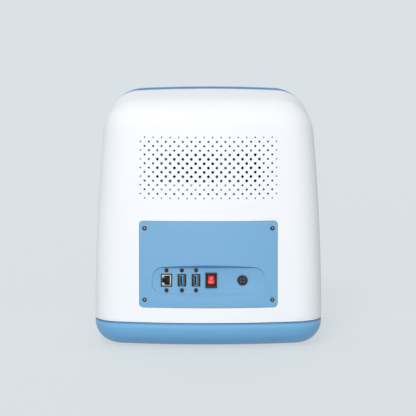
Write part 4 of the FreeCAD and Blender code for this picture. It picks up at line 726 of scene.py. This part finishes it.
def eased(node, width):
    """A merged copy of a solid, with its sharp edges rounded to a width in metres."""
    mesh = frame["nodes"][node].data.copy()
    mesh.name = node + "_eased"
    if "custom_normal" in mesh.attributes:
        mesh.attributes.remove(mesh.attributes["custom_normal"])
    work = bmesh.new()
    work.from_mesh(mesh)
    bmesh.ops.remove_doubles(work, verts=work.verts, dist=MERGE)
    bmesh.ops.dissolve_limit(work, angle_limit=FLAT, verts=work.verts, edges=work.edges)
    weight = work.edges.layers.float.new("bevel_weight_edge")
    widest = FRONT_WIDTH if node in WITH_FRONT_RIM else width
    for edge in work.edges:
        if edge.is_manifold and edge.calc_face_angle() > SHARP:
            middle = (edge.verts[0].co + edge.verts[1].co) / 2
            edge[weight] = width / widest
            if node in WITH_FRONT_RIM and on_front_rim(middle):
                edge[weight] = 1.0
            if node == "base_tray" and on_seam_rim(middle):
                edge[weight] = SEAM_WIDTH / widest
    work.to_mesh(mesh)
    work.free()
    thing = object_of(mesh)
    soft = thing.modifiers.new("soft_edges", "BEVEL")
    soft.width = widest
    soft.segments = 3
    soft.limit_method = "WEIGHT"
    soft.use_clamp_overlap = True
    apply_modifiers(thing)
    place(thing, body_of[node], "bezel_blue" if node in DARKER_BLUE else slot_of[node], node)


for node_name, width in EASED.items():
    eased(node_name, width)

# %% [markdown]
# A button-head screw is a surface turned about its axis, with one twist: towards the middle its
# rings change from circles to the hexagon of the key. A ring's radius at an angle is its circle's
# radius, or the hexagon's flat divided by the cosine of the angle from the flat's middle.

# %% Screws of the back
SOCKET_X = (0.057, 0.036, 0.0168)
PORT_LEVEL = 0.0955
SWITCH_PROUD = 0.002
FLOOR_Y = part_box("switch_body")[1].y - SWITCH_PROUD
PORT_SCREW_OFFSET = 0.0137
PANEL_SCREW_ASIDE = 0.0069
PANEL_SCREW_UP = 0.01
PANEL_SCREW_DEPTH = 0.0019
CROWN_SHARE = 0.62


def screw_grids(x, z, seat, radius, height, key, turn):
    """Grids of one head and of its key recess: rows go from the foot of the rim inwards."""
    angle = np.linspace(0, 2 * math.pi, 49)
    flat = key / np.cos(np.mod(angle + turn, math.pi / 3) - math.pi / 6)
    crown = CROWN_SHARE * radius
    bow = np.radians([90, 70, 50, 30, 12])[:, None] + 0 * angle
    reach = crown + (radius - crown) * np.sin(bow)
    up = height * (0.25 + 0.75 * np.cos(bow))
    head = np.concatenate([[np.stack([radius + 0 * angle, 0 * angle], -1)],
                           np.stack([reach, up], -1),
                           [np.stack([1.1 * flat, height + 0 * angle], -1)]])
    recess = np.stack([np.stack([share * flat, height * (1 - deep) + 0 * angle], -1)
                       for share, deep in ((1.1, 0.0), (1.0, 0.06), (0.9, 0.5), (0.0, 0.3))])
    return [np.stack([x + grid[..., 0] * np.cos(angle), seat + grid[..., 1],
                      z + grid[..., 0] * np.sin(angle)], -1) for grid in (head, recess)]


def screw_set(name, spots, seats, radius, height, key, finishes, node):
    """All screws of one kind, as one mesh of heads and one of the recesses for the key."""
    grids = [screw_grids(x, z, seat, radius, height, key, turn=0.4 * i)
             for i, ((x, z), seat) in enumerate(zip(spots, seats))]
    heads, recesses = zip(*grids)
    place(object_of(mesh_from(name + "_heads", heads), sharp=30), "housing", finishes[0], node)
    place(object_of(mesh_from(name + "_keys", recesses), sharp=30), "housing", finishes[1])


port_spots = [(x, PORT_LEVEL + side * PORT_SCREW_OFFSET) for x in SOCKET_X for side in (-1, 1)]
# The port screws' recesses take a paler metal: wear at the key, and a painted highlight.
screw_set("port_screw", port_spots, [FLOOR_Y] * len(port_spots), radius=0.00275, height=0.0017,
          key=0.00105, finishes=("black_screw", "worn_key_and_highlight"), node="port_screws")
panel_spots = [(side * (PANEL_HALF - PANEL_SCREW_ASIDE), level) for side in (-1, 1)
               for level in (PANEL_LOW + PANEL_SCREW_UP, PANEL_HIGH - PANEL_SCREW_UP)]
panel_seats = [back_y(x, z) - PANEL_SCREW_DEPTH for x, z in panel_spots]
# The panel screws' heads are painted dark, painted shade for their counterbores, and their recesses
# light, a painted highlight.
screw_set("panel_screw", panel_spots, panel_seats, radius=0.0029, height=0.0016,
          key=0.0012, finishes=("painted_shade_steel", "painted_highlight_key"), node="panel_screws")

# %% [markdown]
# The rocker is one profile carried along X: a dished top between a rounded upper end and a sloped
# lower one, tipped ten degrees about its pivot. Its marks are the two plain ones of a mains
# switch, moulded a hair proud: a ring on the end that is pressed in, and a bar on the other.

# %% Rocker and its marks
SWITCH_X = -0.0037
PIVOT_Y = FLOOR_Y + 0.0005
TILT = math.radians(10)
UPPER = 0.0053
LOWER = -0.0043
KEY_HALF = 0.0046
DISH_FLOOR = 0.0014
DISH_RISE = 0.0016
UNDERSIDE = -0.0035
UPPER_ARC = 1.57
PROUD = 0.00006
SUNK = -0.0001
RING_UP = 0.0028
RING_RADII = (0.0009, 0.001, 0.0016, 0.0017)
BAR_ACROSS = (-0.0006, -0.0005, 0.0005, 0.0006)
BAR_UP = (-0.0038, -0.001)


def tipped(along, up):
    """From the rocker's own profile to the object: turned by the tilt about the pivot."""
    return np.stack([PIVOT_Y + along * math.cos(TILT) - up * math.sin(TILT),
                     PORT_LEVEL + along * math.sin(TILT) + up * math.cos(TILT)], -1)


def dished(up):
    """Height of the rocker's top over the pivot: a shallow parabola between its two ends."""
    return DISH_FLOOR + DISH_RISE * (up / UPPER) ** 2


def carried(name, outline, low, high):
    """A closed outline in (y, z) carried along X, with both ends capped."""
    count = len(outline)
    points = [(x, *spot) for x in (low, high) for spot in outline]
    sides = [(i, (i + 1) % count, count + (i + 1) % count, count + i) for i in range(count)]
    mesh = bpy.data.meshes.new(name)
    mesh.from_pydata(points, [], [*sides, tuple(range(count))[::-1],
                                  tuple(range(count, 2 * count))])
    tidy(mesh, merge=1e-7)
    return object_of(mesh)


top_up = np.linspace(LOWER, UPPER, 17)
end_turn = np.linspace(0, 1, 6)[1:]
upper_end = np.stack([dished(UPPER) - 0.004 * end_turn,
                      UPPER + 0.0021 * np.sin(end_turn * UPPER_ARC)], -1)
lower_end = np.stack([dished(LOWER) - 0.0034 * end_turn, LOWER - 0.0033 * end_turn], -1)
rocker_profile = np.concatenate([np.stack([dished(top_up), top_up], -1), upper_end,
                                 [(UNDERSIDE, UPPER), (UNDERSIDE, -UPPER)], lower_end[::-1]])
rocker = carried("rocker_key", tipped(rocker_profile[:, 0], rocker_profile[:, 1]).tolist(),
                 SWITCH_X - KEY_HALF, SWITCH_X + KEY_HALF)
soften(rocker, width=0.00045, segments=3, degrees=40)
place(rocker, "rocker", "red_rocker", "switch_rocker")


def on_rocker(across, up, proud):
    """Points of the rocker's dished top, a little proud of it."""
    return np.concatenate([(SWITCH_X + across)[..., None], tipped(dished(up) + proud, up)], -1)


angle = np.linspace(0, 2 * math.pi, 41)
ring_radius = np.array(RING_RADII)[:, None]
ring_proud = np.array([SUNK, PROUD, PROUD, SUNK])[:, None] + 0 * angle
ring_mark = on_rocker(ring_radius * np.cos(angle), RING_UP + ring_radius * np.sin(angle),
                      ring_proud)
across, up = np.meshgrid(BAR_ACROSS, np.linspace(*BAR_UP, 7))
bar_proud = np.full(across.shape, PROUD)
bar_proud[:, [0, -1]] = SUNK
bar_proud[[0, -1]] = SUNK
marks = object_of(mesh_from("rocker_marks", [ring_mark, on_rocker(across, up, bar_proud)]))
place(marks, "rocker", "mark_paint")

# %% [markdown]
# The network socket's face is a folded sheet with a stepped mouth. The mouth's eight corners and
# eight points on the sheet's rim pair up, so one ring of quads makes the face, one its outer edge
# and one the wall of the mouth.

# %% Face of the network socket
FACE_Y = FLOOR_Y + 0.0006
SHEET_DEPTH = 0.0022
MOUTH_DEPTH = 0.0009
MOUTH = np.array([(-0.0046, -0.0064), (0.0027, -0.0064), (0.0027, -0.0031), (0.0060, -0.0031),
                  (0.0060, 0.0031), (0.0027, 0.0031), (0.0027, 0.0064), (-0.0046, 0.0064)])
RIM = np.array([(-0.0064, -0.0075), (0.0027, -0.0075), (0.0064, -0.0075), (0.0064, -0.0031),
                (0.0064, 0.0031), (0.0064, 0.0075), (0.0027, 0.0075), (-0.0064, 0.0075)])


def closed_ring(flat, y):
    """A loop of (x, z) offsets from the socket's middle, at a depth, with its first point again."""
    loop = np.concatenate([flat, flat[:1]])
    return np.stack([SOCKET_X[0] + loop[:, 0], np.full(len(loop), y), PORT_LEVEL + loop[:, 1]],
                    -1)


face_rows = np.stack([closed_ring(RIM, FACE_Y - SHEET_DEPTH), closed_ring(RIM, FACE_Y),
                      closed_ring(MOUTH, FACE_Y), closed_ring(MOUTH, FACE_Y - MOUTH_DEPTH)])
shield = object_of(mesh_from("network_shield", [face_rows]))
soften(shield, width=0.0002, segments=2, degrees=50)
place(shield, "housing", "plated_steel", "lan_shield")

# %% [markdown]
# The camera stands far back on the +Y side, a little above the bench, as the picture was taken.
# A long lens from far away keeps the sides almost parallel.

# %% Camera
CAMERA_DISTANCE = 3.5
CAMERA_RAISE = math.radians(7.5)
CAMERA_ASIDE = math.radians(0.1)
CAMERA_TARGET = np.array([0.0003, 0.0, 0.1757])
LENS_MILLIMETRES = 214.7
SENSOR_MILLIMETRES = 36
camera_data = bpy.data.cameras.new("camera")
camera_data.lens = LENS_MILLIMETRES
camera_data.sensor_width = SENSOR_MILLIMETRES
camera = bpy.data.objects.new("camera", camera_data)
camera.location = CAMERA_TARGET + CAMERA_DISTANCE * np.array(
    [math.sin(CAMERA_ASIDE), math.cos(CAMERA_RAISE), math.sin(CAMERA_RAISE)])
camera.rotation_euler = (math.pi / 2 - CAMERA_RAISE, 0, math.pi - CAMERA_ASIDE)
bpy.context.scene.collection.objects.link(camera)
bpy.context.scene.camera = camera
print("camera at:", [round(part, 3) for part in camera.location])

# %% [markdown]
# Sun lamps light the floor as brightly far away as near the object, and a wide angle blurs their
# shadows. The key shines from high behind the camera and a low lamp from level with it, which
# lifts the walls under the key. A weak fill comes from the camera's right, and one from the front
# serves the other side.

# %% Lamps


def sun(name, spot, strength, spread):
    """A sun that shines from a spot towards the object, blurred over a spread in degrees."""
    data = bpy.data.lights.new(name, "SUN")
    data.energy = strength
    data.angle = math.radians(spread)
    thing = bpy.data.objects.new(name, data)
    thing.location = spot
    thing.rotation_euler = (math.atan2(math.hypot(spot[0], spot[1]), spot[2]), 0,
                            math.atan2(spot[0], -spot[1]))
    bpy.context.scene.collection.objects.link(thing)


sun("key", spot=(0.5, 2.4, 2.3), strength=1.6, spread=20)
sun("low", spot=(0.3, 3.0, 0.1), strength=1.0, spread=40)
sun("fill", spot=(-2.4, 1.2, 1.2), strength=0.15, spread=60)
sun("front", spot=(0.8, -1.8, 2.4), strength=0.6, spread=80)
print("lamps:", len(bpy.data.lights))

# %% [markdown]
# The background is pale because the floor and the sky say so to the camera's rays, straight,
# mirrored or refracted. Rays that only light the object see a plain floor and a dim sky, so the
# pale background puts no more light on it.

# %% Floor and sky
PALE = linear(224, 231, 234)
FLOOR_HALF = 40.0
FLOOR_GLOW = 0.75
SKY_COLOUR = (0.92, 0.96, 1.0, 1)
SKY_STRENGTH = 0.32


def camera_rays(start):
    """A mask that is 1 for the rays that make the picture and 0 for those that light it."""
    seen = start.node("ShaderNodeLightPath", output="Is Camera Ray")
    mirrored = start.node("ShaderNodeLightPath", output="Is Glossy Ray")
    refracted = start.node("ShaderNodeLightPath", output="Is Transmission Ray")
    return seen + mirrored + refracted


floor_mesh = bpy.data.meshes.new("floor")
floor_corners = [(x * FLOOR_HALF, y * FLOOR_HALF, 0) for x, y in ((-1, -1), (1, -1), (1, 1), (-1, 1))]
floor_mesh.from_pydata(floor_corners, [], [(0, 1, 2, 3)])
floor = object_of(floor_mesh)
floor_material, start, shader = new_material("pale_floor")
mottle = noise(start, start.node("ShaderNodeTexCoord", output="Object"), 0.6)
shifted(start, linear(205, 211, 214), mottle, 0.01).to(shader, "Base Color")
shader.inputs["Roughness"].default_value = 0.6
glow = start.node("ShaderNodeEmission", Color=PALE + (1,), Strength=1.0)
both = start.node("ShaderNodeMixShader", _0=camera_rays(start) * FLOOR_GLOW,
                  _1=Wire(start.tree, shader.outputs[0]), _2=glow)
output = next(n for n in start.tree.nodes if n.type == "OUTPUT_MATERIAL")
start.tree.links.new(both.socket, output.inputs["Surface"])
floor_mesh.materials.append(floor_material)

world = bpy.data.worlds.new("studio")
world.use_nodes = True
bpy.context.scene.world = world
sky = Wire(world.node_tree)
background = world.node_tree.nodes["Background"]
background.inputs["Color"].default_value = SKY_COLOUR
background.inputs["Strength"].default_value = SKY_STRENGTH
plain = sky.node("ShaderNodeBackground", Color=PALE + (1,), Strength=1.0)
mixed = sky.node("ShaderNodeMixShader", _0=camera_rays(sky),
                 _1=Wire(sky.tree, background.outputs[0]), _2=plain)
world_output = next(n for n in world.node_tree.nodes if n.type == "OUTPUT_WORLD")
world.node_tree.links.new(mixed.socket, world_output.inputs["Surface"])
print("floor and sky:", floor.name, world.name)

# %% [markdown]
# The picture is shown with the plain Standard view transform.

# %% View transform
bpy.context.scene.view_settings.view_transform = "Standard"
